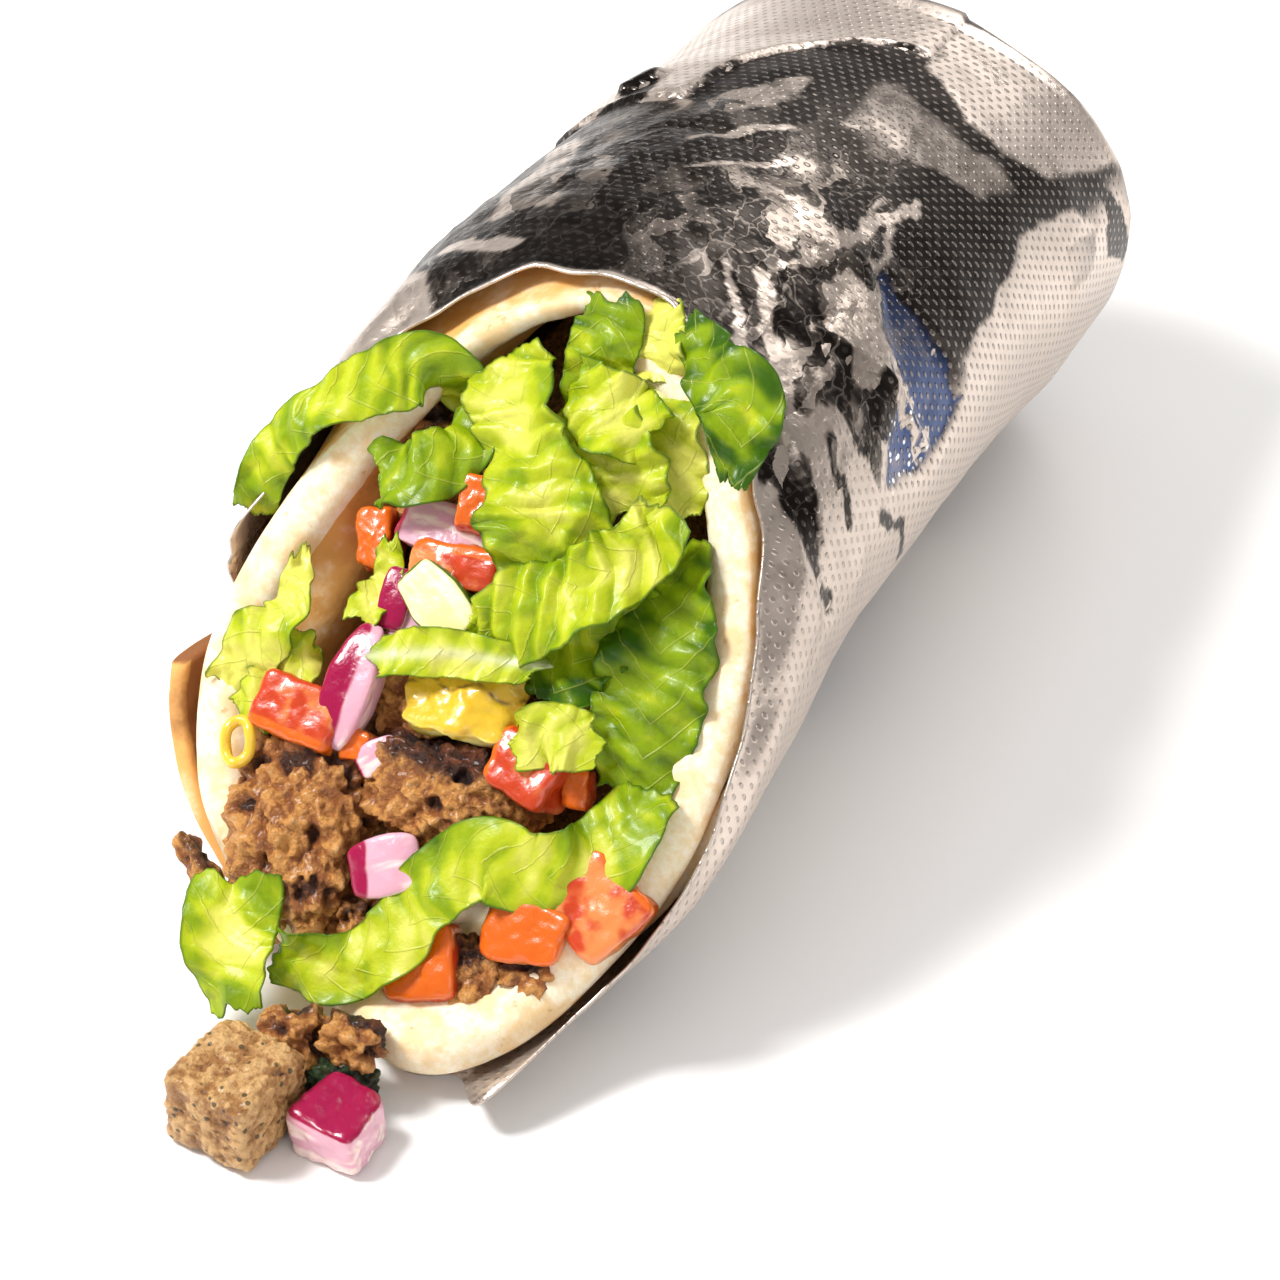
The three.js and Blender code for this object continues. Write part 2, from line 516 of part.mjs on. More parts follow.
const LEAVES = [
  ["lettuce_pale", {
    path: [[6, 51, -1], [9.5, 46.5, 1], [11.5, 42.5, 0]], width: [8, 10, 8], ruffle: 1.3, seed: 1,
  }],
  ["lettuce_right_wall", {
    path: [[10.8, 41.6, -1], [15.4, 35.2, 0.5], [18.6, 26, -0.5]], width: [8, 9, 8], ruffle: 1,
    seed: 17,
  }],
  ["lettuce_centre_side", {
    path: [[1.2, 36.8, 0], [8.4, 31.7, 2.5], [13.4, 24.6, 1.5]], width: [10, 14, 12], ruffle: 1.5,
    seed: 5,
  }],
  ["lettuce_tall", {
    path: [[4.6, 34.5, 1], [4.2, 43.5, 3], [1.9, 50.5, 0]], width: [8, 9, 8], ruffle: 0.8,
    roll: -12, seed: 2,
  }],
  ["lettuce_flare", {
    path: [[1, 39.5, 3], [8.2, 36.4, 5], [15, 34.7, 3.5]], width: [6, 11, 9], ruffle: 1.1, seed: 18,
  }],
  ["lettuce_right", {
    path: [[19.4, 22.5, -1], [22.2, 11, 1.5], [24, 1, 2], [24.6, -8.6, 1]],
    width: [11, 14.5, 14, 9.5], ruffle: 1.4, seed: 3,
  }],
  ["lettuce_dark", {
    path: [[16, 17, -1], [13, 8.5, 3], [11, -1, 1.5]], width: [11, 13, 10], ruffle: 1.3, seed: 4,
  }],
  ["lettuce_centre", {
    path: [[-10, 39.2, 0.5], [-5.6, 34.6, 3], [-1.6, 28.7, 5], [3.8, 22.3, 6], [7, 15.5, 4.5]],
    width: [12, 12.5, 12, 17, 14], ruffle: 1.2, seed: 6,
  }],
  ["lettuce_centre_strip", {
    path: [[-0.2, 4, 3.5], [5.2, 8.4, 6.5], [11.8, 13.9, 7.2], [16.8, 19, 6.8], [19.2, 26.5, 5]],
    width: [10, 12.5, 12, 10, 8.5], ruffle: 0.9, waves: 2.5, seed: 7,
  }],
  ["lettuce_strip_left", {
    path: [[-10.5, 31.6, -1], [-10.6, 27.1, 2], [-14.2, 22.6, 3.8], [-20.6, 20.1, 2.6]],
    width: [6, 8, 9.5, 10], ruffle: 0.7, seed: 8,
  }],
  ["lettuce_over_rim", {
    path: [
      [-12.9, 33.5, -4], [-17.9, 35.4, 2.4], [-23, 32.2, 3.8], [-30, 26.8, 3], [-35.4, 20.2, 1],
      [-37.4, 11.6, -3],
    ],
    width: [8.5, 10, 8.5, 7, 6.5, 5.5], ruffle: 0.9, roll: 10, seed: 9,
  }],
  ["lettuce_outside_right", {
    path: [[13.7, 49.2, 2.5], [19.2, 45.4, 5.5], [25, 41.8, 7.2], [26.6, 32.5, 6.4]],
    width: [5, 10, 11, 4], ruffle: 0.8, seed: 10,
  }],
  ["lettuce_left_inside", {
    path: [[-31.5, -12.5, 0], [-29, -5.5, 2.2], [-26.2, 0.6, 2.8], [-27.6, 8.8, 1]],
    width: [8, 9.5, 7, 1.6], ruffle: 1.1, seed: 11,
  }],
  ["lettuce_left_lobe", {
    path: [[-27.6, -14, 1], [-24, -8, 2.2], [-22.8, -1.6, 1]], width: [8, 9, 5], ruffle: 1.2,
    seed: 19,
  }],
  ["lettuce_shred", {
    path: [[-16.7, 12.9, 0], [-15, 8.1, 2], [-16.8, 2.4, 2]], width: [2.6, 4.5, 6], ruffle: 0.6,
    seed: 12,
  }],
  ["lettuce_rib_left", {
    path: [[-12, -1.4, 5], [-1.6, 1.7, 6.8], [9.6, 3.6, 4.5]], width: [6.4, 6, 4.6], ruffle: 0.6,
    seed: 13,
  }],
  ["lettuce_light", {
    path: [[9.6, -6.4, 5.5], [14.5, -3.7, 6.6], [19.5, -3.2, 5]], width: [8, 9.5, 7], ruffle: 0.5,
    seed: 14,
  }],
  ["lettuce_front", {
    path: [
      [27.2, -6.8, 1.5], [24.6, -17, 4.5], [18, -21, 6], [10.5, -21.4, 6.6], [5, -27, 6],
      [1.6, -35.2, 5.5], [-4.6, -40.4, 5], [-12.6, -40.6, 4.5],
    ],
    width: [9.5, 12.5, 10.5, 10.5, 10, 9, 8.5, 8.5], ruffle: 0.9, waves: 3, seed: 15,
  }],
  ["lettuce_lip", {
    path: [[-20.6, -33.6, 5.2], [-18.4, -41.2, 7.2], [-15, -48.4, 6.4]], width: [13, 12.5, 9],
    ruffle: 0.6, waves: 1.5, seed: 16,
  }],
];

// Pieces that tumbled out in front of the lip, placed on the floor.
const SPILLED = [
  ["meat_spilled_brown", "meat", "lump", {
    size: [9, 7.5, 11], at: [-5.2, -92.2, 5.8], turn: 10, seed: 11, detail: 1,
  }],
  ["meat_spilled_dark", "meat", "lump", {
    size: [8.5, 5.5, 6], at: [3, -91.6, 9], seed: 12, detail: 1,
  }],
  ["meat_spilled_cube", "meat", "lump", {
    size: [13.4, 14.2, 11.4], at: [-7.6, -103.3, 5.8], turn: -8, square: 9, seed: 10,
  }],
  ["onion_spilled", "onion", "lump", {
    size: [9.2, 9.2, 7], at: [5.4, -100.4, 3.6], turn: -8, square: 4, crag: 0.03, seed: 14,
    detail: 1,
  }],
  ["herb_leaf", "herb", "lump", {
    size: [9.5, 4.4, 7], at: [2.8, -93.8, 3.8], turn: 10, square: 2.2, seed: 13, detail: 1,
  }],
];

const blockers = [];

function settle(name, slot, build, frame, spec) {
  let solid = placed(build(spec, 0), spec.at ? spec : { at: [0, 0, 0] }, frame);
  for (const blocker of blockers) solid = solid.subtract(blocker);
  const body = largest(largest(solid).simplify(CUT_TOLERANCE));
  blockers.push(placed(build(spec, GAP), spec.at ? spec : { at: [0, 0, 0] }, frame));
  return toMesh(name, slot, body);
}

function wrapper() {
  const group = new THREE.Group();
  group.name = "wrapper";
  const clearFoil = foilCup(GAP);
  const bread = largest(breadRoll(0).subtract(clearFoil));
  group.add(toMesh("foil_wrap", "foil", foilCup(0)), toMesh("flat_bread", "bread", bread));
  blockers.push(clearFoil, breadRoll(GAP));
  return group;
}

function filling() {
  const group = new THREE.Group();
  group.name = "contents";
  group.add(toMesh("filling_core", "filling", fillingCore(0)));
  blockers.push(fillingCore(GAP));
  for (const [name, spec] of MEAT) group.add(settle(name, "meat", lump, MOUTH_FRAME, spec));
  for (const [name, slot, kind, spec] of VEGETABLES) {
    group.add(settle(name, slot, SHAPES[kind], MOUTH_FRAME, spec));
  }
  for (const [name, spec] of LEAVES) group.add(settle(name, "lettuce", leaf, MOUTH_FRAME, spec));
  for (const [name, slot, kind, spec] of SPILLED) {
    group.add(settle(name, slot, SHAPES[kind], FLOOR_FRAME, spec));
  }
  return group;
}

const gyroWrap = new THREE.Group();
gyroWrap.name = "gyro_wrap";
gyroWrap.add(wrapper(), filling());

export default gyroWrap;
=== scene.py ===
import math
from functools import lru_cache
from itertools import product

import bmesh
import bpy
import numpy as np
from mathutils import Matrix, Vector

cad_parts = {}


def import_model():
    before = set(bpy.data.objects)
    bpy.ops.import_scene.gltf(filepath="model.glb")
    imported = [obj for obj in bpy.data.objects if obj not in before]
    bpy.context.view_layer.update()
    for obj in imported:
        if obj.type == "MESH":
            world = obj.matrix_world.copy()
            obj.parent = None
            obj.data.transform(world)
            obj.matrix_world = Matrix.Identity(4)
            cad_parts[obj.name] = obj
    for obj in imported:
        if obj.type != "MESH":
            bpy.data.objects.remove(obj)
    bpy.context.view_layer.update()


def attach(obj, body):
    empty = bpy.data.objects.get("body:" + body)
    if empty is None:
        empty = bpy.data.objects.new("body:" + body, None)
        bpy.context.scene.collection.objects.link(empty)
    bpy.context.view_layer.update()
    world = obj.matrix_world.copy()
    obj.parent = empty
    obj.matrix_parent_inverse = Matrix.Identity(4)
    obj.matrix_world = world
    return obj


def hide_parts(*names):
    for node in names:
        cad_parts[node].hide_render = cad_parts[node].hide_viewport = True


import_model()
MM = 0.001

# The wrap lies along y, its mouth toward -y. Sizes are in millimetres and angles in degrees; an angle
# round the roll is 0 on the right and 90 on top.
STATION_Y = [-75.0, 0.0, 75.0]
HALF_WIDTH = [39.2, 38.8, 36.5]
HALF_HEIGHT = [37.5, 38.2, 31.5]
SINK = 0.6
PRESSED_ANGLE = -27.0
PRESSED_SPREAD = 30.0
PRESSED_Y = [-60, -44, -28, -12, 0, 30, 44, 60]
PRESSED_DEPTH = [0, 1.4, 2.8, 4.0, 3.9, 3.6, 3.0, 1.5]
MOUTH_CENTRE = np.array([0.0, -52.0, 37.0])
MOUTH_TILT = math.radians(44)
MOUTH_AXES = np.array(
    [
        [1, 0, 0],
        [0, math.sin(MOUTH_TILT), math.cos(MOUTH_TILT)],
        [0, -math.cos(MOUTH_TILT), math.sin(MOUTH_TILT)],
    ]
)


# shared shapes
def smooth(x, a, b):
    t = np.clip((np.asarray(x, float) - a) / (b - a), 0, 1)
    return t * t * (3 - 2 * t)


def bump(x, centre, width):
    d = (np.asarray(x, float) - centre) / width
    return np.exp(-d * d)


def tri_wave(x):
    return 2 * np.abs(x - np.floor(x + 0.5))


def lattice(ix, iy, iz, seed):
    """A repeatable value between 0 and 1 for each corner of a grid."""
    h = (ix * 374761393 + iy * 668265263 + iz * 1274126177 + seed * 974634777) & 0xFFFFFFFF
    h = ((h ^ (h >> 13)) * 1274126177) & 0xFFFFFFFF
    return ((h ^ (h >> 16)) & 0xFFFFFFFF) / 4294967295.0


def noise(p, seed=0):
    base = np.floor(p).astype(np.int64)
    f = p - base
    f = f * f * (3 - 2 * f)
    total = np.zeros(len(p))
    for corner in product((0, 1), repeat=3):
        weight = np.prod(np.where(corner, f, 1 - f), axis=1)
        total += weight * lattice(*(base + corner).T, seed)
    return 2 * total - 1


def fbm(p, octaves=4, seed=0):
    """Layers of noise, each half the size and half the strength of the last."""
    return sum(0.5**i * noise(p * 2.0**i + 17.3 * i, seed + i) for i in range(octaves))


def cells(p, seed=0):
    """Distance from each point to the nearest of many scattered spots."""
    base = np.floor(p).astype(np.int64)
    best = np.full(len(p), 9.0)
    for offset in product((-1, 0, 1), repeat=3):
        cell = base + offset
        spot = np.stack([lattice(*cell.T, seed + k) for k in range(3)], 1) + cell
        best = np.minimum(best, np.linalg.norm(spot - p, axis=1))
    return best


def facets(x, y, seed=0):
    """Height of a surface of flat triangles, as crumpled foil has."""
    u, v = x - y / math.sqrt(3), 2 * y / math.sqrt(3)
    iu, iv = np.floor(u).astype(np.int64), np.floor(v).astype(np.int64)
    fu, fv = u - iu, v - iv
    near, up, right, far = [lattice(iu + a, iv + b, 0 * iu, seed) for a, b in product((0, 1), repeat=2)]
    lower = near + (right - near) * fu + (up - near) * fv
    upper = far + (up - far) * (1 - fu) + (right - far) * (1 - fv)
    return np.where(fu + fv < 1, lower, upper) - 0.5


def on_section(angle, radius, y):
    """Points of the roll's section at y, pressed in on its lower right."""
    a = np.radians(angle)
    wide = np.interp(y, STATION_Y, HALF_WIDTH) / HALF_WIDTH[1]
    high = np.interp(y, STATION_Y, HALF_HEIGHT) / HALF_WIDTH[1]
    centre = np.interp(y, STATION_Y, HALF_HEIGHT) - SINK
    off = np.mod(angle - PRESSED_ANGLE + 180, 360) - 180
    pressed = np.interp(y, PRESSED_Y, PRESSED_DEPTH) * bump(off, 0, PRESSED_SPREAD)
    reach = radius * (1 - pressed / HALF_WIDTH[1])
    return np.stack([wide * reach * np.cos(a), y + 0 * a, centre + high * reach * np.sin(a)], -1)


def mouth_y(z):
    """Where the slope of the mouth is at a height."""
    return MOUTH_CENTRE[1] + (z - MOUTH_CENTRE[2]) / math.tan(math.pi / 2 - MOUTH_TILT)


def mouth_edge(angle, radius):
    return mouth_y(on_section(angle, radius, np.full_like(angle, MOUTH_CENTRE[1]))[..., 2])


def from_mouth(p):
    return MOUTH_CENTRE + p @ MOUTH_AXES


# colours and materials
def rgb(colour):
    """Linear colour of a hex text; a socket stays as it is."""
    if not isinstance(colour, str):
        return colour
    values = [int(colour[i : i + 2], 16) / 255 for i in (1, 3, 5)]
    return [v / 12.92 if v <= 0.04045 else ((v + 0.055) / 1.055) ** 2.4 for v in values] + [1.0]


class Shader:
    """Short way to write a node tree."""

    def __init__(self, name, store=bpy.data.materials):
        self.owner = store.new(name)
        self.owner.use_nodes = True
        self.tree = self.owner.node_tree
        self.tree.nodes.clear()

    def node(self, kind, inputs=None, **props):
        made = self.tree.nodes.new(kind)
        for key, value in props.items():
            setattr(made, key, value)
        for key, value in (inputs or {}).items():
            if isinstance(value, bpy.types.NodeSocket):
                self.tree.links.new(value, made.inputs[key])
            else:
                made.inputs[key].default_value = value
        return made

    def attribute(self, name):
        return self.node("ShaderNodeAttribute", attribute_name=name).outputs["Fac"]

    def math(self, operation, a, b=0.0):
        return self.node("ShaderNodeMath", {0: a, 1: b}, operation=operation).outputs[0]

    def times(self, a, b):
        return self.math("MULTIPLY", a, b)

    def plus(self, a, b):
        return self.math("ADD", a, b)

    def swing(self, value, middle, amount):
        """How far the value is above the middle, times an amount."""
        return self.times(self.math("SUBTRACT", value, middle), amount)

    def vector(self, operation, a, b):
        return self.node("ShaderNodeVectorMath", {0: a, 1: b}, operation=operation).outputs[0]

    def coords(self, kind):
        return self.node("ShaderNodeTexCoord").outputs[kind]

    def position(self):
        """Place on the piece in millimetres."""
        inputs = {"Vector": self.coords("Object"), "Scale": [1 / MM] * 3}
        return self.node("ShaderNodeMapping", inputs).outputs[0]

    def noise(self, vector, scale=1.0, detail=4.0, rough=0.55):
        inputs = {"Vector": vector, "Scale": scale, "Detail": detail, "Roughness": rough}
        return self.node("ShaderNodeTexNoise", inputs).outputs["Fac"]

    def spots(self, vector, scale=1.0, feature="F1"):
        inputs = {"Vector": vector, "Scale": scale}
        return self.node("ShaderNodeTexVoronoi", inputs, feature=feature).outputs["Distance"]

    def span(self, value, low, high, to_low=0.0, to_high=1.0):
        inputs = {"Value": value, "From Min": low, "From Max": high, "To Min": to_low, "To Max": to_high}
        return self.node("ShaderNodeMapRange", inputs, interpolation_type="SMOOTHSTEP").outputs[0]

    def mix(self, factor, a, b):
        inputs = {0: factor, 6: rgb(a), 7: rgb(b)}
        return self.node("ShaderNodeMix", inputs, data_type="RGBA", clamp_factor=True).outputs[2]

    def bump(self, height, strength=0.4, distance=0.3, normal=None):
        inputs = {"Height": height, "Strength": strength, "Distance": distance * MM}
        if normal is not None:
            inputs["Normal"] = normal
        return self.node("ShaderNodeBump", inputs).outputs[0]

    def principled(self, **inputs):
        named = {key.replace("_", " "): value for key, value in inputs.items()}
        return self.node("ShaderNodeBsdfPrincipled", named).outputs[0]

    def finish(self, surface):
        self.node("ShaderNodeOutputMaterial", {"Surface": surface})
        return self.owner


DOT_PITCH = (1.75, 1.45)


def foil_material():
    """Embossed foil: painted reflections as light and dark fields from the mesh, painted light and shade on
    facets where it is crushed, painted highlights along creases and painted glints, rows of dots with
    painted shade.
    """
    s = Shader("foil")
    tone_and_shade = s.attribute("tone_and_shade")
    crushed = s.attribute("crushed")
    p = s.position()
    uv = s.coords("UV")
    streak = s.noise(p, 0.25, 5)
    drift = s.node("ShaderNodeTexNoise", {"Vector": uv, "Scale": 0.16, "Detail": 3.0}).outputs["Color"]
    bent = s.vector("ADD", uv, s.vector("MULTIPLY", drift, (9, 9, 0)))
    facet, tilt = 0.0, 0.0
    for pitch, stretch, turn, share in ((7.0, 0.42, 38, 1.0), (2.8, 0.5, 62, 0.9)):
        size = (1 / pitch, stretch / pitch, 0)
        inputs = {"Vector": bent, "Rotation": (0, 0, math.radians(turn)), "Scale": size}
        at = s.node("ShaderNodeMapping", inputs).outputs[0]
        cell = s.node("ShaderNodeTexVoronoi", {"Vector": at, "Scale": 1.0}).outputs
        away = s.vector("SUBTRACT", at, cell["Position"])
        lean = s.vector("SUBTRACT", cell["Color"], (0.5, 0.5, 0))
        slope = s.node("ShaderNodeVectorMath", {0: away, 1: lean}, operation="DOT_PRODUCT").outputs["Value"]
        pick = s.node("ShaderNodeSeparateColor", {0: cell["Color"]}).outputs[2]
        facet = s.plus(facet, s.swing(pick, 0.5, share))
        tilt = s.plus(tilt, s.times(slope, share * pitch / 3))
    crease = s.span(s.spots(at, 1.0, "DISTANCE_TO_EDGE"), 0.06, 0.0)
    # painted light and shade, one value for each facet where the foil is crushed
    facet_shade = s.times(facet, s.plus(s.times(crushed, 0.72), 0.04))
    shade = s.plus(s.plus(tone_and_shade, s.swing(streak, 0.5, 0.25)), facet_shade)
    # painted dark reflection, bluer where the blue reflection is painted
    dark = s.mix(s.attribute("blue_reflection"), "#37312d", "#46557c")
    # painted pale reflection, made darker as painted shade where the foil is crushed
    pale = s.mix(s.times(crushed, 0.8), "#dccdc1", "#a89a8e")
    # painted reflection: dark to pale by the painted light and shade
    colour = s.mix(s.span(shade, 0.22, 0.72), dark, pale)
    # painted highlight along the crease lines where the foil is crushed
    crease_highlit = s.mix(s.times(s.times(crease, crushed), 0.35), colour, "#c9bbaf")
    grid = s.vector("MULTIPLY", uv, (1 / DOT_PITCH[0], 1 / DOT_PITCH[1], 1))
    across, along = s.node("ShaderNodeSeparateXYZ", {0: grid}).outputs[:2]
    row = s.times(s.math("MODULO", s.math("FLOOR", along), 2.0), 0.5)
    x = s.math("SUBTRACT", s.math("FRACT", s.plus(across, row)), 0.5)
    y = s.math("SUBTRACT", s.math("FRACT", along), 0.5)
    off = s.math("SQRT", s.plus(s.times(x, x), s.times(s.times(y, y), 1.6)))
    dots = s.times(s.span(off, 0.34, 0.14), s.attribute("dots"))
    # painted shade on the embossed dots: light dots on dark foil, darker dots on pale foil
    dot_shade = s.mix(s.span(shade, 0.35, 0.6), "#b3a89f", "#7d736b")
    spotted = s.mix(s.times(dots, 0.6), crease_highlit, dot_shade)
    # painted glints: white sparkles in the base colour
    glint = s.times(s.span(s.spots(uv, 0.62), 0.26, 0.16), s.attribute("glints"))
    fine = s.bump(s.noise(p, 1.1, 6), 0.2, 0.25)
    folded = s.bump(s.times(tilt, s.plus(s.times(crushed, 0.9), 0.06)), 0.32, 1.6, fine)
    surface = s.principled(
        Base_Color=s.mix(glint, spotted, "#ffffff"),
        Metallic=s.span(shade, 0.4, 0.9, 1.0, 0.72),
        Roughness=s.span(streak, 0.3, 0.7, 0.26, 0.42),
        Normal=s.bump(dots, 0.5, 0.3, folded),
    )
    return s.finish(surface)


def bread_material():
    """Flat bread: cream with tan and scorched blotches, golden to brown where it is toasted and where shade
    is painted on its inner face.
    """
    s = Shader("bread")
    p = s.position()
    grain = s.noise(p, 0.9, 6, 0.65)
    level = s.plus(s.attribute("toast"), s.swing(s.noise(p, 0.09, 5, 0.6), 0.52, 2.2))
    cream = s.mix(s.span(grain, 0.3, 0.7), "#fdf1da", "#f3dcb0")
    tan = s.span(s.noise(p, 0.16, 5, 0.6), 0.46, 0.64)
    scorch = s.span(s.noise(p, 0.34, 4, 0.6), 0.64, 0.74)
    scorched = s.mix(s.times(scorch, 0.6), s.mix(s.times(tan, 0.75), cream, "#e9c48a"), "#bd7f3e")
    golden = s.mix(s.span(level, 0.25, 0.8), scorched, "#dfa65a")
    height = s.plus(s.times(grain, 0.6), s.times(s.noise(p, 0.3, 4), 0.8))
    surface = s.principled(
        Base_Color=s.mix(s.span(level, 0.85, 1.5), golden, "#8a5426"),
        Roughness=0.72,
        Subsurface_Weight=0.25,
        Subsurface_Radius=(0.004, 0.0022, 0.0012),
        Subsurface_Scale=0.6,
        Normal=s.bump(height, 0.35, 0.5),
    )
    return s.finish(surface)


def meat_material(name="meat", light="#e8a354", deep="#a05e2a", pale="#f6cc94"):
    """Rough grilled meat: painted highlights pale on the crumbs, painted shade dark in the cracks,
    black-brown and glossy where burnt.
    """
    s = Shader(name)
    p = s.position()
    fine = s.noise(p, 1.5, 6, 0.7)
    raised = s.plus(s.attribute("raised"), s.swing(fine, 0.5, 1.4))
    # painted shade and highlight: dark in the hollows, light on the raised crumbs
    body = s.mix(s.span(raised, 0.05, 0.6), deep, light)
    warmed = s.mix(s.times(s.span(s.noise(p, 0.22, 6, 0.65), 0.5, 0.7), 0.45), body, "#a5622a")
    fair = s.mix(s.span(raised, 0.0, 0.6), "#b58146", "#efc487")
    faded = s.mix(s.times(s.attribute("fair"), 0.7), warmed, fair)
    # painted highlights on the highest crumbs
    crumb_highlighted = s.mix(s.times(s.span(raised, 0.6, 1.1), 0.8), faded, pale)
    # painted shade in the pits
    pit_shaded = s.mix(s.times(s.span(raised, 0.0, -0.45), 0.9), crumb_highlighted, "#3c1c0d")
    specks = s.times(s.span(s.spots(p, 0.5), 0.22, 0.14), s.attribute("herbs"))
    burn = s.plus(s.attribute("char"), s.swing(s.noise(p, 0.5, 5), 0.5, 0.9))
    # burnt crust, with painted shade in its hollows
    shaded_crust = s.mix(s.span(raised, 0.0, 0.9), "#26110a", "#7a3c14")
    height = s.plus(s.times(s.spots(p, 0.9), 0.9), s.plus(fine, s.times(s.noise(p, 3.6, 3, 0.6), 0.5)))
    surface = s.principled(
        Base_Color=s.mix(s.span(burn, 0.3, 0.75), s.mix(specks, pit_shaded, "#26301a"), shaded_crust),
        Roughness=s.span(fine, 0.3, 0.7, 0.32, 0.6),
        Coat_Weight=0.2,
        Coat_Roughness=0.22,
        Normal=s.bump(height, 1.0, 0.8),
    )
    return s.finish(surface)


def lettuce_material():
    """Lettuce: yellow to deep green by its tone and the shade painted across its folds, slanting veins, a
    darker edge, light shining through.
    """
    s = Shader("lettuce")
    uv = s.coords("UV")
    wander = s.noise(uv, 0.3, 3)
    shift = s.node("ShaderNodeCombineXYZ", {0: wander, 1: wander}).outputs[0]
    along, across = s.node("ShaderNodeSeparateXYZ", {0: s.vector("ADD", uv, shift)}).outputs[:2]
    slanted = s.plus(along, s.times(s.math("ABSOLUTE", across), 1.1))
    phase = s.math("SUBTRACT", s.math("FRACT", s.math("DIVIDE", slanted, 4.4)), 0.5)
    vein = s.span(s.math("ABSOLUTE", phase), 0.06, 0.0)
    level = s.plus(s.attribute("tone_and_shade"), s.swing(s.noise(s.position(), 0.16, 4), 0.5, 0.8))
    pale = s.mix(s.span(level, -0.1, 0.35), "#f1ee70", "#cdd822")
    green = s.mix(s.span(level, 0.3, 0.62), pale, "#98b408")
    deep = s.mix(s.span(level, 0.6, 1.1), green, "#3c6804")
    veined = s.mix(s.times(vein, 0.30), deep, "#e2e468")
    edged = s.mix(s.times(s.span(s.attribute("edge"), 0.92, 0.99), 0.75), veined, "#3f6e0e")
    rib = s.mix(s.attribute("rib"), edged, "#f3f2cf")
    normal = s.bump(s.plus(s.times(vein, -0.6), s.noise(uv, 0.9, 4)), 0.5, 0.4)
    shell = s.principled(
        Base_Color=rib,
        Roughness=0.4,
        Specular_IOR_Level=0.35,
        Coat_Weight=0.18,
        Coat_Roughness=0.14,
        Normal=normal,
    )
    glow = {"Color": s.mix(0.35, rib, "#d4dc10"), "Normal": normal}
    through = s.node("ShaderNodeBsdfTranslucent", glow).outputs[0]
    return s.finish(s.node("ShaderNodeMixShader", {0: 0.36, 1: shell, 2: through}).outputs[0])


def wet_material(name, colours, roughness=0.2, fuzz=0.25):
    """Juicy cut vegetables: a skin colour, a flesh colour and a pale streak colour."""
    s = Shader(name)
    p = s.position()
    grain = s.attribute("grain")
    flesh = s.attribute("flesh")
    skin, inner, streak = colours
    base = s.mix(s.span(s.plus(flesh, s.times(grain, fuzz)), 0.2, 0.8), skin, inner)
    streaked = s.mix(s.times(s.times(s.span(grain, -0.1, 0.7), flesh), 0.8), base, streak)
    height = s.plus(s.noise(p, 0.6, 5, 0.6), s.times(s.noise(p, 2.2, 4, 0.6), 0.3))
    surface = s.principled(
        Base_Color=s.mix(s.attribute("seam"), streaked, "#7d5c1c"),
        Roughness=roughness,
        Subsurface_Weight=0.35,
        Subsurface_Radius=(0.004, 0.0016, 0.0008),
        Subsurface_Scale=0.6,
        Coat_Weight=0.5,
        Coat_Roughness=0.06,
        Normal=s.bump(height, 0.4, 0.4),
    )
    return s.finish(surface)


MATERIALS = {
    "foil": foil_material(),
    "bread": bread_material(),
    "meat": meat_material(),
    "lettuce": lettuce_material(),
    "tomato": wet_material("tomato", ["#d8620c", "#c03c12", "#ea9250"], 0.3),
    "onion": wet_material("onion", ["#9a0c42", "#dba4b4", "#f6e0d4"], fuzz=0.12),
    "cucumber": wet_material("cucumber", ["#39660f", "#f6e6a0", "#faf0c4"], 0.3, 0.12),
    "pepper": wet_material("pepper", ["#dcb42c", "#f0d040", "#faea98"], 0.3),
    "herb": meat_material("herb", "#31491d", "#16220c", "#4d6a2c"),
    "filling": meat_material("filling", "#96663a", "#5a3418", "#b08456"),
}


# mesh helpers
def make_object(name, slot, points, faces, node=None, uv=None, **attributes):
    """One dressed piece, with its values for the material at each point."""
    mesh = bpy.data.meshes.new(name + "_look")
    mesh.from_pydata((points * MM).tolist(), [], faces if isinstance(faces, list) else faces.tolist())
    mesh.update()
    if uv is not None:
        layer = mesh.uv_layers.new(name="UVMap")
        loops = np.zeros(len(mesh.loops), np.int32)
        mesh.loops.foreach_get("vertex_index", loops)
        layer.data.foreach_set("uv", uv[loops].astype(np.float32).ravel())
    for key, values in attributes.items():
        made = mesh.attributes.new(key, "FLOAT", "POINT")
        made.data.foreach_set("value", (np.zeros(len(points)) + values).astype(np.float32))
    mesh.shade_smooth()
    mesh.materials.append(MATERIALS[slot])
    made = bpy.data.objects.new(name + "_look", mesh)
    bpy.context.collection.objects.link(made)
    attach(made, "root")
    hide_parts(node or name)


def grid_faces(rows, columns, wrap=False):
    """Quads of a rows x columns grid of points; wrap joins the last column to the first."""
    r = np.arange(rows - 1)[:, None]
    c = np.arange(columns if wrap else columns - 1)[None, :]
    a = r * columns + c
    b = r * columns + (c + 1) % columns
    return np.stack([a, b, b + columns, a + columns], -1).reshape(-1, 4)


def end_rings(rows, columns):
    """The first and the last row of a grid of points."""
    return list(range(columns)), [(rows - 1) * columns + k for k in range(columns)]


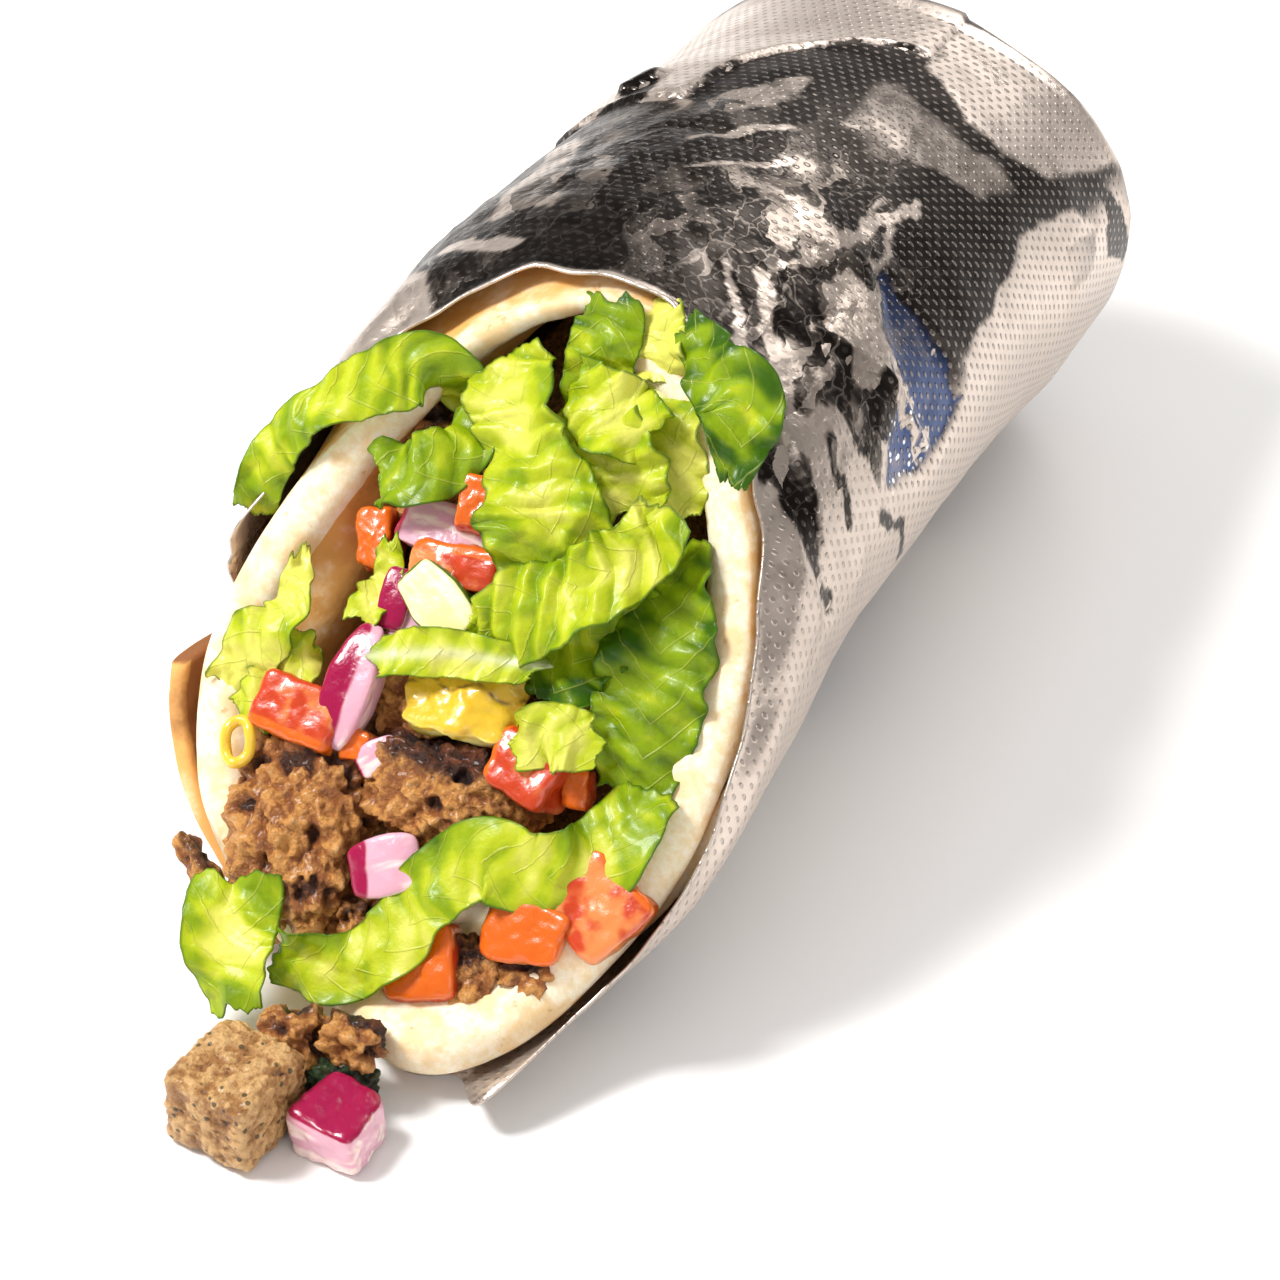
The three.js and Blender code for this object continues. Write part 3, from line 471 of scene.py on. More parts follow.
def sheet_mesh(grid, thickness):
    """Two faces of a sheet and the strip round its border."""
    rows, columns = grid.shape[:2]
    n = np.cross(np.gradient(grid, axis=0), np.gradient(grid, axis=1))
    n = n / np.maximum(np.linalg.norm(n, axis=-1, keepdims=True), 1e-9)
    front = (grid + n * (thickness / 2)).reshape(-1, 3)
    back = (grid - n * (thickness / 2)).reshape(-1, 3)
    count = rows * columns
    quads = grid_faces(rows, columns)
    index = np.arange(count).reshape(rows, columns)
    border = np.concatenate([index[0], index[1:, -1], index[-1, -2::-1], index[-2:0:-1, 0]])
    following = np.roll(border, -1)
    strip = np.stack([following, border, border + count, following + count], -1)
    return np.concatenate([front, back]), np.concatenate([quads, quads[:, ::-1] + count, strip])


@lru_cache
def sphere(level):
    """Points and faces of a round ball."""
    mesh = bmesh.new()
    bmesh.ops.create_icosphere(mesh, subdivisions=level, radius=1.0)
    points = np.array([v.co[:] for v in mesh.verts])
    faces = [[v.index for v in f.verts] for f in mesh.faces]
    mesh.free()
    return points / np.linalg.norm(points, axis=1, keepdims=True), faces


# foil
FOIL_THICKNESS = 0.35
FOIL_RECESS = 2.0
FOIL_ARC = 0.66
TAIL_Y = 77.0
TAIL_BULGE = 6.0
GROOVE = [(45, -23), (34, -25), (24, -27.5), (11, -28)]
RIDGE = [(50, -4), (34, 0), (16, 3)]
HOOD = [(150, 36), (110, 34), (107, 48), (101, 54), (90, 61), (81, 64), (75, 65), (74, 86)]

# reflections on the foil: lightness, softness of the border in mm, outline of (angle, y) points
REFLECTIONS = [
    (0.95, 1.5, [(110, 34), (109, 41), (107, 48), (101, 54), (90, 61), (81, 64), (75, 65), (74, 86),
     (150, 86), (150, 36)]),
    (0.08, 1.6, [(110, 36), (106, 49), (94, 54), (82, 62), (77, 60), (80, 49), (87, 40), (95, 35),
     (101, 30)]),
    (0.84, 3.0, [(59, 55), (73, 62), (74, 86), (20, 86), (28, 72), (35, 61), (48, 55)]),
    (0.46, 4.0, [(78, 54), (59, 52), (40, 53), (44, 40), (63, 33), (77, 36)]),
    (0.02, 3.0, [(62, 37), (42, 43), (33, 47), (28, 37), (30, 23), (42, 20), (54, 22), (62, 29)]),
    (0.92, 2.5, [(26, 61), (16, 66), (-2, 72), (-40, 72), (-40, 10), (10, 16), (23, 18), (28, 37),
     (32, 49)]),
    (0.50, 2.0, [(21, 56), (17, 66), (7, 63), (9, 54)]),
    (0.00, 1.0, [(26, 70), (12, 75), (-4, 77), (6, 69), (19, 70)]),
    (0.90, 2.0, [(16, 15), (12, 29), (-40, 30), (-40, -40), (6, -4), (9, 6)]),
    (0.88, 1.2, [(46, -27), (34, -28), (24, -30), (12, -31), (4, -34), (-40, -30), (-40, -80), (8, -60),
     (40, -46), (48, -36)]),
    (0.86, 1.0, [(40, -12), (32, -12), (16, -10), (6, -11), (-20, -22), (10, -26), (24, -25), (34, -23),
     (45, -20)]),
    (0.85, 0.8, [(54, 10), (45, 9), (37, 3), (36, -4), (42, -6), (50, -2), (57, 2)]),
    (0.60, 1.2, [(112, 33), (104, 34), (98, 40), (90, 47), (87, 41), (95, 30), (103, 27)]),
    (0.62, 1.2, [(127, -4), (128, 8), (136, 24), (128, 26), (118, 12), (112, 4), (112, -2)]),
    (0.00, 1.2, [(144, 57), (126, 48), (108, 24), (99, 7), (106, 10), (122, 32)]),
    (0.92, 2.0, [(118, -36), (124, -28), (131, -15), (150, -7), (178, -4), (178, -70), (118, -70)]),
]
# painted blue reflection on the foil, which is also pressed in as a hollow
BLUE_REFLECTION_PATCH = [(50, 14), (43, 15), (34, 15), (24, 15), (16, 14), (13, 6), (13, -1), (18, -9), (24, -6),
              (28, 0), (36, 3), (43, 9)]
# painted glints: the outline where white sparkles are painted on the foil
GLINTS = [(28, -5), (27, 2), (21, 6), (15, 6), (13, -2), (17, -9)]
# painted light and dark reflection streaks on the foil: (angle, y) points, width in mm
PAINTED_LIGHT_STREAKS = [
    ([(63, 2), (60, 8), (59, 17), (58, 27)], 1.2),
    ([(59, 12), (57, 22), (52, 30)], 1.0),
    ([(50, 14), (54, 24), (53, 32)], 1.1),
    ([(66, -2), (58, -9), (50, -15), (44, -20)], 1.5),
    ([(72, -4), (64, -12), (56, -18)], 1.0),
    ([(98, 20), (90, 26), (84, 31)], 1.1),
    ([(92, 13), (84, 18), (78, 22)], 1.0),
    ([(132, -8), (122, -9), (113, -11)], 1.8),
    ([(40, 4), (28, 2.6), (15, 3.4)], 0.9),
    ([(37, 1.6), (26, 0.4), (14, 1.2)], 0.9),
    ([(24, -6.5), (18, -9.6), (11, -8)], 1.4),
]
PAINTED_DARK_STREAKS = [
    (GROOVE, 1.8),
    ([(36, -16), (28, -18), (20, -19)], 1.5),
    ([(14, -12), (6, -6), (-6, -3)], 1.5),
    ([(52, -6), (46, -4), (40, -8), (33, -6)], 2.0),
    ([(84, 60), (80, 57), (76, 56)], 2.4),
]
# folds of the foil: spacing, height, direction, seed, share that is there where it isn't crushed
FOLDS = [
    (15, 1.4, 20, 61, 0.4),
    (7.5, 1.1, 65, 71, 0.16),
    (3.6, 0.7, -30, 81, 0.1),
    (1.8, 0.35, 10, 91, 0.06),
]
# where it is crushed: how much, middle angle and width, middle y and length
CRUMPLED = [
    (1, 70, 26, 10, 22),
    (0.8, 44, 16, -6, 16),
    (0.35, 15, 30, -30, 22),
    (0.8, 150, 24, -12, 22),
    (0.75, 112, 18, 18, 26),
]
HUG_ANGLES = [-62, -45, -15, 5, 40, 75, 105, 125, 160, 175]
HUG_DEPTH = [0, 1.5, 2.4, 3.0, 2.9, 0, 0, 2.6, 2.6, 0]


def unrolled(angle, y):
    return np.stack([angle * FOIL_ARC, y, 0 * y], -1)


def distance_to(angle, y, path):
    """Distance along the foil to a line of (angle, y) points."""
    x = angle * FOIL_ARC
    best = np.full(np.shape(angle), 1e9)
    for (a0, y0), (a1, y1) in zip(path, path[1:]):
        x0, dx, dy = a0 * FOIL_ARC, (a1 - a0) * FOIL_ARC, y1 - y0
        t = np.clip(((x - x0) * dx + (y - y0) * dy) / (dx * dx + dy * dy), 0, 1)
        best = np.minimum(best, np.hypot(x - x0 - t * dx, y - y0 - t * dy))
    return best


def stroke(angle, y, path, width):
    """1 on a line drawn on the foil, fading to 0 at its width."""
    return 1 - smooth(distance_to(angle, y, path), 0.25 * width, width)


def inside(angle, y, outline, soft):
    """1 within an outline drawn on the foil, 0 outside it."""
    closed = outline + outline[:1]
    within = np.zeros(np.shape(angle), bool)
    for (a0, y0), (a1, y1) in zip(closed, closed[1:]):
        if y0 != y1:
            crossing = a0 + (a1 - a0) * (y - y0) / (y1 - y0)
            within ^= ((y0 > y) != (y1 > y)) & (angle < crossing)
    nearest = distance_to(angle, y, closed)
    return smooth(np.where(within, nearest, -nearest), -soft / 2, soft / 2)


def beyond_hood(angle, y):
    """How far a place lies past the fold of the hood, and well before it elsewhere."""
    line = np.interp(angle, *zip(*sorted(HOOD)))
    return np.where((angle > 72) & (angle < 150), y - line, -20)


def crumple_at(angle, y):
    """1 where the foil is crushed, 0 where it lies smooth."""
    amount = sum(share * bump(angle, a, wide) * bump(y, b, long) for share, a, wide, b, long in CRUMPLED)
    return np.clip(amount, 0, 1)


def foil_folds(angle, y):
    """Height of the foil's folds, coarse ones everywhere and small ones where it is crushed."""
    flat = unrolled(angle, y)
    x = flat[:, 0] + 5 * fbm(flat / 16, 3, 5)
    z = flat[:, 1] + 5 * fbm(flat / 16, 3, 9)
    crushed = crumple_at(angle, y)
    height = 0
    for pitch, size, turn, seed, everywhere in FOLDS:
        c, d = math.cos(math.radians(turn)), math.sin(math.radians(turn))
        folds = facets((x * c + z * d) / pitch, (z * c - x * d) / pitch * 0.6, seed)
        height = height + size * (everywhere + (1 - everywhere) * crushed) * folds
    return height * smooth(np.abs(angle), 180, 168)


def foil_relief(angle, y):
    """Height of the foil over the plain roll."""
    around = np.radians(angle)
    soft = 0.30 * np.sin(3 * around + y / 17) + 0.25 * np.sin(5 * around - y / 23 + 1.3)
    soft = soft + 0.35 * fbm(unrolled(angle, y) / 18, 2, 21)
    marks = -1.0 * stroke(angle, y, GROOVE, 2.6) - 0.8 * inside(angle, y, BLUE_REFLECTION_PATCH, 3)
    marks += 0.9 * stroke(angle, y, RIDGE, 1.5) + 1.6 * stroke(angle, y, [(124, 43), (127, 40)], 3.0)
    marks += 0.9 * smooth(beyond_hood(angle, y), -0.6, 0.5) - 2.6 * bump(angle, 112, 44) * smooth(y, 44, 68)
    return 0.1 + 0.6 * soft + foil_folds(angle, y) + marks


def foil_edge_y(angle):
    """Where the foil starts: just behind the rim, drawn to a tip below it, torn back under the left side."""
    turned = np.where(angle > 90, angle - 360, angle)
    tip = -9 * bump(angle, -58, 9)
    bare = 10 * smooth(turned, -80, -92) * smooth(turned, -190, -168)
    bare = bare - 2.4 * smooth(angle, 60, 20) * smooth(angle, -100, -60)
    torn = 0.5 * np.sin(angle / 4) + 0.35 * np.sin(angle / 2.3)
    return mouth_edge(angle, HALF_WIDTH[1] - 2) + FOIL_RECESS + tip + bare + torn


def foil_marks(angle, y, place):
    """Painted reflections on the foil at each place: how light and how blue it is; also how dotted and
    crushed it is, and where painted glints sparkle.
    """
    flat = unrolled(angle, y)
    crushed = crumple_at(angle, y)
    a, b = angle + 1.1 * fbm(flat / 3.5, 3, 33), y + 1.1 * fbm(flat / 3.5, 3, 35)
    # painted reflection: dark over most of the foil, lighter below an angle of 30 on its right and lower
    # side
    tone_and_shade = 0.12 + 0.12 * fbm(flat / 15, 3, 31) + 0.02 * crushed + 0.62 * smooth(angle, 30, 10)
    # painted reflections from the outlines in REFLECTIONS
    for light, soft, outline in REFLECTIONS:
        share = inside(a, b, outline, soft)
        tone_and_shade = tone_and_shade * (1 - share) + light * share
    tone_and_shade = tone_and_shade + 0.08 * fbm(flat / 5, 3, 37)
    # painted blue reflection
    blue_reflection = inside(a, b, BLUE_REFLECTION_PATCH, 1.0)
    tone_and_shade = tone_and_shade * (1 - blue_reflection) + (0.2 + 0.16 * fbm(flat / 4, 2, 39)) * blue_reflection
    # painted dark streaks, the groove's shade among them, then painted light streaks
    for path, width in PAINTED_DARK_STREAKS:
        tone_and_shade = tone_and_shade * (1 - stroke(a, b, path, width))
    for path, width in PAINTED_LIGHT_STREAKS:
        tone_and_shade = np.maximum(tone_and_shade, stroke(a, b, path, width))
        blue_reflection = blue_reflection * (1 - stroke(a, b, path, width))
    hidden = np.maximum(smooth(angle, -38, -52), smooth(angle, 146, 158))
    hidden = np.maximum(hidden, smooth(y, TAIL_Y - 2, TAIL_Y + 3))
    tone_and_shade = tone_and_shade * (1 - hidden) + (0.6 + 0.6 * fbm(place / 13, 4, 45)) * hidden
    # painted highlight along the foil's edge
    tone_and_shade = np.clip(np.maximum(tone_and_shade, 1.1 * bump(y - foil_edge_y(angle), 0.2, 0.7)), 0, 1)
    blue_reflection = blue_reflection * (1 - hidden)
    crushed = np.maximum(crushed, 0.3 * hidden) * (1 - 0.8 * blue_reflection)
    dots = (0.25 + 0.75 * smooth(y, -10, 14) + 0.4 * smooth(angle, 50, 20)) * (1 - 0.55 * crushed)
    dots = np.clip(dots * smooth(y, TAIL_Y, TAIL_Y - 3), 0, 1)
    glints = inside(a, b, GLINTS, 2.0)
    return {"tone_and_shade": tone_and_shade, "blue_reflection": blue_reflection, "dots": dots, "crushed": crushed, "glints": glints}


def foil_wall(angle, lift, inset, steps, cap):
    """Rows of points from the foil's edge back to its gathered tail, set in by a depth."""
    edge = foil_edge_y(angle)
    layer = []
    for t in np.linspace(0, 1, steps):
        y = edge + (TAIL_Y + lift - edge) * t
        hug = np.interp(angle, HUG_ANGLES, HUG_DEPTH) * bump(np.maximum(y - edge, 0), 0, 5)
        relief = np.maximum(foil_relief(angle, y) - hug, -0.8 - hug)
        point = on_section(angle, HALF_WIDTH[1] + relief - inset, np.minimum(y, STATION_Y[2]))
        point[:, 1] = y
        layer.append(point)
    small = 0.35 * (tri_wave(angle / 20 + 0.4 * np.sin(np.radians(3 * angle))) - 0.5)
    for i in range(1, cap + 1):
        turn = i / cap
        pleat = 1.1 * np.sin(np.radians(5 * angle)) * turn * (1 - turn) + small * math.sin(math.pi * turn)
        y = TAIL_Y + lift * (1 - turn) + (TAIL_BULGE - inset) * math.sin(math.pi / 2 * turn) + 3 * pleat
        radius = (HALF_WIDTH[1] + foil_relief(angle, y) - inset) * math.cos(math.pi / 2 * turn) ** 0.55
        if i == cap:
            radius = radius * 0 + 0.4
        point = on_section(angle, radius, np.full_like(angle, STATION_Y[2]))
        point[:, 1] = y
        layer.append(point)
    layer = np.array(layer)
    layer[..., 2] = np.maximum(layer[..., 2], inset)
    return layer


def foil():
    """The wrapping: an outer and an inner wall, joined at the edge and gathered at the tail."""
    around, side = ((380, 200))
    even = np.linspace(0, 1, around, endpoint=False)
    angle = -180 + 360 * even + 32 * np.sin(2 * math.pi * (even - 0.69))
    angle = np.mod(angle + 180, 360) - 180
    angle = np.roll(angle, -int(np.argmin(angle)))
    lift = 2 * bump(angle, 125, 34)
    outer = foil_wall(angle, lift, 0.0, side, 16)
    inner = foil_wall(angle, lift, FOIL_THICKNESS, 30, 16)
    grid = np.concatenate([inner[::-1], outer])
    points = grid.reshape(-1, 3)
    first, last = end_rings(len(grid), around)
    faces = grid_faces(len(grid), around, wrap=True)[:, ::-1].tolist() + [first, last[::-1]]
    all_angle = np.tile(angle, len(grid))
    marks = foil_marks(all_angle, points[:, 1], points)
    # painted light: the inner face of the foil is made pale
    marks["tone_and_shade"][: len(inner) * around] = 0.8
    uv = np.stack([np.radians(all_angle) * HALF_HEIGHT[1], points[:, 1]], -1)
    make_object("foil", "foil", points, faces, "foil_wrap", uv, **marks)


# bread: turns run from its inner end, which lies on top, down the right side and round
ROLL_START = 78.0
ROLL_END = 606.0
BREAD_TAIL_Y = 68.0
ROLL_KNOTS = [0, 72, 93, 120, 137, 150, 160, 185, 204, 219, 234, 244, 256, 268, 284, 306, 323, 340, 360,
              540, 568, 582, 594, 606]
ROLL_MOUTH = [34.6, 34.8, 35.8, 36.6, 38.3, 37.2, 35.6, 34.2, 34.6, 37.0, 38.2, 38.2, 36.8, 34.8, 33.4,
              32.0, 34.2, 36.0, 37.3, 37.4, 38.6, 40.4, 41.4, 42.2]
BODY_KNOTS = [0, 235, 260, 280, 307, 323, 340, 606]
ROLL_BODY = [34.6, 34.6, 35.6, 36.4, 36.9, 37.2, 37.3, 37.3]
THICK_KNOTS = [0, 30, 55, 120, 160, 285, 350]
THICKNESS = [6.0, 6.2, 7.4, 7.4, 6.0, 6.0, 2.4]
RECESS_KNOTS = [330, 370, 400, 440, 505, 545, 575, 600]
RECESS = [0, 4, 8, 10, 10, 8, 5, 1]
DEPTH_KNOTS = [200, 214, 268, 330, 375, 540, 575]
DEPTH = [12, 14, 28, 28, 8, 8, 16]
LIP_REACH = 5.5
INNER_FOLD = 8.0
FILLING_DEPTH = 13.0
FILLING_RADIUS = 28.2
FILLING_HOLLOW = 12.0


def bread_thickness(turn):
    return np.interp(turn, THICK_KNOTS, THICKNESS)


def inner_fold(turn):
    return INNER_FOLD * (bump(turn, 262, 30) + 0.6 * bump(turn, 322, 16))


def soft_interp(x, knots, values, blur=9.0):
    return sum(np.interp(x + d, knots, values) for d in (-blur, -blur / 2, 0, blur / 2, blur)) / 5


def bread():
    """The flat bread, rolled one and two thirds times round, with a rounded rim at the mouth."""
    steps, side, cap = 620, 36, 9
    turn = np.linspace(0, ROLL_END, steps)
    angle = ROLL_START - turn
    at_mouth = soft_interp(turn, ROLL_KNOTS, ROLL_MOUTH)
    deep_radius = soft_interp(turn, BODY_KNOTS, ROLL_BODY)
    thick = bread_thickness(turn)
    recess = np.interp(turn, RECESS_KNOTS, RECESS) - LIP_REACH * bump(turn, 153, 22)
    ripple = 0.5 * fbm(np.stack([turn / 22, 0 * turn, 0 * turn], -1), 3, 41)
    edge = mouth_edge(angle, at_mouth - 2) + recess + ripple
    depth = np.interp(turn, DEPTH_KNOTS, DEPTH)
    fold = inner_fold(turn)

    def wall(y, share):
        deep = smooth((y - edge) / depth, 1 / 28, 1)
        outer = at_mouth + (deep_radius - at_mouth) * deep
        place = np.stack([turn / 9, y / 6, 0 * y + 3], -1)
        outer = outer + 0.35 * fbm(place, 3, 43) * (0.3 if share > 0.5 else 1.0) - 0.3
        inner = thick + fold * smooth((y - edge) / 14, 0, 1)
        return on_section(angle, outer - inner * (1 - share), y)

    start = edge + thick / 2
    lengthwise = [start + (BREAD_TAIL_Y - start) * t for t in np.linspace(0, 1, side) ** 1.8]
    rows = [wall(y, 0.0) for y in lengthwise[::-1]]
    for i in range(1, cap):
        a = math.pi * i / cap
        rows.append(wall(start - (thick / 2) * math.sin(a) ** 0.7, 0.5 - 0.5 * math.cos(a)))
    rows += [wall(y, 1.0) for y in lengthwise]
    grid = np.array(rows)
    grid[..., 2] = np.maximum(grid[..., 2], 1.0)
    count = len(grid)
    points = grid.reshape(-1, 3)
    first, last = end_rings(count, steps)
    tail = [[a, b, c, d] for a, b, c, d in zip(first[1:], first, last, last[1:])]
    ends = [list(range(0, count * steps, steps)), list(range(steps - 1, count * steps, steps))[::-1]]
    faces = grid_faces(count, steps).tolist() + tail + ends
    ridge = np.linspace(-1, 1, count)[:, None]
    rim = bump(np.arange(count)[:, None], (count - 1) / 2, 5.0)
    # the left side of the roll, where the inner wall shows in the hollow
    left = smooth(turn, 190, 230) * smooth(turn, 420, 360)
    # toasted outer face; painted shade on the inner face, strongest on the left wall; a paler rim
    toast = 0.62 * (ridge > 0.08) + (0.3 + 0.55 * left) * (ridge < -0.16) - 0.25 * rim
    toast = toast + 1.15 * smooth(turn, 500, 560)
    uv = np.stack(np.broadcast_arrays(turn * 0.6, grid[..., 1]), -1).reshape(-1, 2)
    make_object("bread", "bread", points, faces, "flat_bread", uv, toast=toast.ravel())


def filling():
    """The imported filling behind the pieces, a rough face at the mouth and a plain run to the tail."""
    around = 120
    angle = np.linspace(-180, 180, around, endpoint=False)
    turn = np.mod(ROLL_START - angle, 360)
    wall = bread_thickness(turn) + 1 + inner_fold(turn)
    tightest = np.minimum(np.interp(turn, ROLL_KNOTS, ROLL_MOUTH), np.interp(turn, BODY_KNOTS, ROLL_BODY))
    near = np.minimum(FILLING_RADIUS, tightest - wall)
    rows = []
    for share in np.linspace(0.02, 1, 26):
        hollow = FILLING_HOLLOW * bump(np.mod(angle, 360), 165, 34) * smooth(share, 0.45, 0.9)
        y = mouth_edge(angle, near * share) + (FILLING_DEPTH + hollow) / math.cos(MOUTH_TILT)
        p = on_section(angle, near * share, y)
        p[:, 1] += 1.6 * fbm(p / 7, 4, 51) * (1 - share**8)
        rows.append(p)
    start = p[:, 1]
    for t in np.linspace(0, 1, 40)[1:]:
        rows.append(on_section(angle, near, start + (BREAD_TAIL_Y - 3 - start) * t))
    points = np.array(rows).reshape(-1, 3)
    first, last = end_rings(len(rows), around)
    faces = grid_faces(len(rows), around, wrap=True).tolist() + [first[::-1], last]
    values = {"char": 0.1, "herbs": 0.0, "fair": 0.0, "raised": 0.3}
    make_object("filling", "filling", points, faces, "filling_core", **values)


# pieces: places at the mouth are in its own frame, x to the right, y up its slope and z out of it
def placed(points, at, turn=0, tip=0, lean=0, mouth=True):
    """Points turned and moved to their place; those outside the mouth lie on the floor."""
    spin = Matrix.Identity(3)
    for angle, axis in ((turn, "Z"), (tip, "X"), (lean, "Y")):
        spin = spin @ Matrix.Rotation(math.radians(angle), 3, axis)
    p = points @ np.array(spin).T + np.array(at, float)
    if mouth:
        return from_mouth(p)
    p[:, 2] = np.maximum(p[:, 2], 0)
    return p


def boxy(points, square):
    return points * ((np.abs(points) ** square).sum(1) ** (-1 / square))[:, None]


def toward(points, direction):
    return points @ (np.array(direction, float) / np.linalg.norm(direction))


def meat(name, seed, size, at, turn=0, square=3.2, crag=1.0, level=5, char=0.0, char_dir=(0, 1, 0.4),
         herbs=0.0, fair=0.0, lump=1.0, mouth=True, slot="meat"):
    """A rough lump: boxy or round, broken up by crumbs and cracks, burnt toward one side, with painted shade
    in its cracks.
    """
    points, faces = sphere(level)
    local = boxy(points, square) * (np.array(size) / 2)
    q = local + 31.7 * seed
    detail = 1.5 * crag * (0.5 - cells(q / 2.6, seed)) + 0.8 * crag * (0.5 - cells(q / 1.15, seed + 7))
    detail = detail + 0.45 * crag * fbm(q / 0.8, 3, seed + 3)
    cracks = smooth(fbm(q / 3.4, 3, seed + 11), 0.3, 0.7)
    detail -= 1.6 * crag * lump * cracks
    push = 0.11 * lump * max(size) ** 0.8 * fbm(q / 5.5, 3, seed) + detail
    # height of the crumbs and cracks, which the material turns into painted highlights and painted shade
    raised = 0.35 + 0.55 * detail / max(crag, 0.3)
    world = placed(local * 0.97 + points * push[:, None], at, turn, mouth=mouth)
    # burnt toward one side, with painted shade added in the cracks
    char_and_crack_shade = smooth(toward(points, char_dir), -0.1, 0.75) * char + 0.25 * cracks * lump
    make_object(name, slot, world, faces, char=char_and_crack_shade, herbs=herbs, fair=fair, raised=raised)


def dice(name, seed, size, at, turn=0, lean=0, skin=(0, 0, 1), pale=0.0, slot="tomato", mouth=True):
    """A hand-cut chunk with uneven faces and its skin on one side."""
    points, faces = sphere(5)
    unit = boxy(points, 8)
    x, y, z = unit.T
    pull = [lattice(seed, k, 3, 77) - 0.5 for k in range(6)]
    local = unit * (1 + 0.3 * np.stack([pull[0] * y, pull[1] * x, pull[2] * x], -1))
    local = local + 0.25 * np.stack([pull[3] * z, pull[4] * z, pull[5] * y], -1)
    local = local * (np.array(size) / 2)
    q = local + 13.1 * seed
    push = 0.4 * fbm(q / 4, 3, seed) + 0.16 * fbm(q / 1.2, 3, seed + 3)
    local = local + points * push[:, None]
    flesh = smooth(toward(unit, skin), 0.88, 0.7)
    stretch = np.array([6.0, 1.2, 1.2] if slot == "onion" else [3.0, 3.0, 3.0])
    grain = fbm(q / stretch, 4, seed + 5) + pale
    world = placed(local, at, turn, lean=lean, mouth=mouth)
    make_object(name, slot, world, faces, flesh=flesh, grain=grain, seam=0.0)


def slab(name, seed, size, at, turn=0, tip=0, radius=12, taper=0.25, slot="onion", skin=(0, 0, 1),
         edge_skin=0.0, wobble=0.15, seam=0.0):
    """A curved slice, as of an onion's layer, with its skin on one face or round its edge."""
    points, faces = sphere(5)
    unit = boxy(points, 8)
    x, y, z = unit.T
    a = x * size[0] / 2 / radius
    reach = radius + z * size[2] / 2
    across = y * size[1] / 2 * (1 - taper * x**2)
    local = np.stack([reach * np.sin(a), across, reach * np.cos(a) - radius], -1)
    q = local + 9.7 * seed
    local = local + points * (wobble * fbm(q / 2.6, 3, seed))[:, None]
    flesh = smooth(toward(unit, skin), 0.93, 0.7)
    if edge_skin:
        flesh = smooth(np.maximum(np.abs(y), np.abs(x)), 0.97, 0.85)
    grain = fbm(q / np.array([7.0, 1.1, 1.1]), 4, seed + 5)
    line = seam * bump(local[:, 1], 1.2 + 0.7 * np.sin(local[:, 0] * 0.9), 0.22)
    make_object(name, slot, placed(local, at, turn, tip), faces, flesh=flesh, grain=grain, seam=line)


def ring(name, size, thick, at, turn=0):
    """A thin ring of pepper."""
    major, minor = 72, 20
    a = np.linspace(0, 2 * math.pi, major, endpoint=False)[:, None]
    b = np.linspace(0, 2 * math.pi, minor, endpoint=False)[None, :]
    reach = thick / 2 * np.cos(b)
    x = np.cos(a) * (size[0] / 2 - thick / 2 + reach)
    y = np.sin(a) * (size[1] / 2 - thick / 2 + reach)
    z = thick / 2 * np.sin(b) + 0 * a
    grid = np.stack([x, y, z + 0.3 * np.sin(3 * a)], -1).reshape(-1, 3)
    last, first = end_rings(major, minor)
    close = [[first[c], first[(c + 1) % minor], last[(c + 1) % minor], last[c]] for c in range(minor)]
    faces = grid_faces(major, minor, wrap=True).tolist() + close
    make_object(name, "pepper", placed(grid, at, turn), faces, flesh=0.4, grain=0.0, seam=0.0)


def curve_points(path, count):
    """Evenly spaced points, tangents and the length of a smooth curve through a path."""
    path = np.array(path, float)
    padded = np.concatenate([[2 * path[0] - path[1]], path, [2 * path[-1] - path[-2]]])
    t = np.linspace(0, 1, 60, endpoint=False)[:, None]
    out = []
    for p0, p1, p2, p3 in zip(padded, padded[1:], padded[2:], padded[3:]):
        square, cube = 2 * p0 - 5 * p1 + 4 * p2 - p3, -p0 + 3 * p1 - 3 * p2 + p3
        out.append(0.5 * ((2 * p1) + (-p0 + p2) * t + square * t**2 + cube * t**3))
    dense = np.concatenate(out + [path[-1:]])
    length = np.concatenate([[0], np.cumsum(np.linalg.norm(np.diff(dense, axis=0), axis=1))])
    even = np.linspace(0, length[-1], count)
    centre = np.stack([np.interp(even, length, dense[:, k]) for k in range(3)], -1)
    tangent = np.gradient(centre, axis=0)
    return centre, tangent / np.linalg.norm(tangent, axis=1, keepdims=True), length[-1]


LEAF_THICKNESS = 0.22
EDGE_WAVE = 4.5


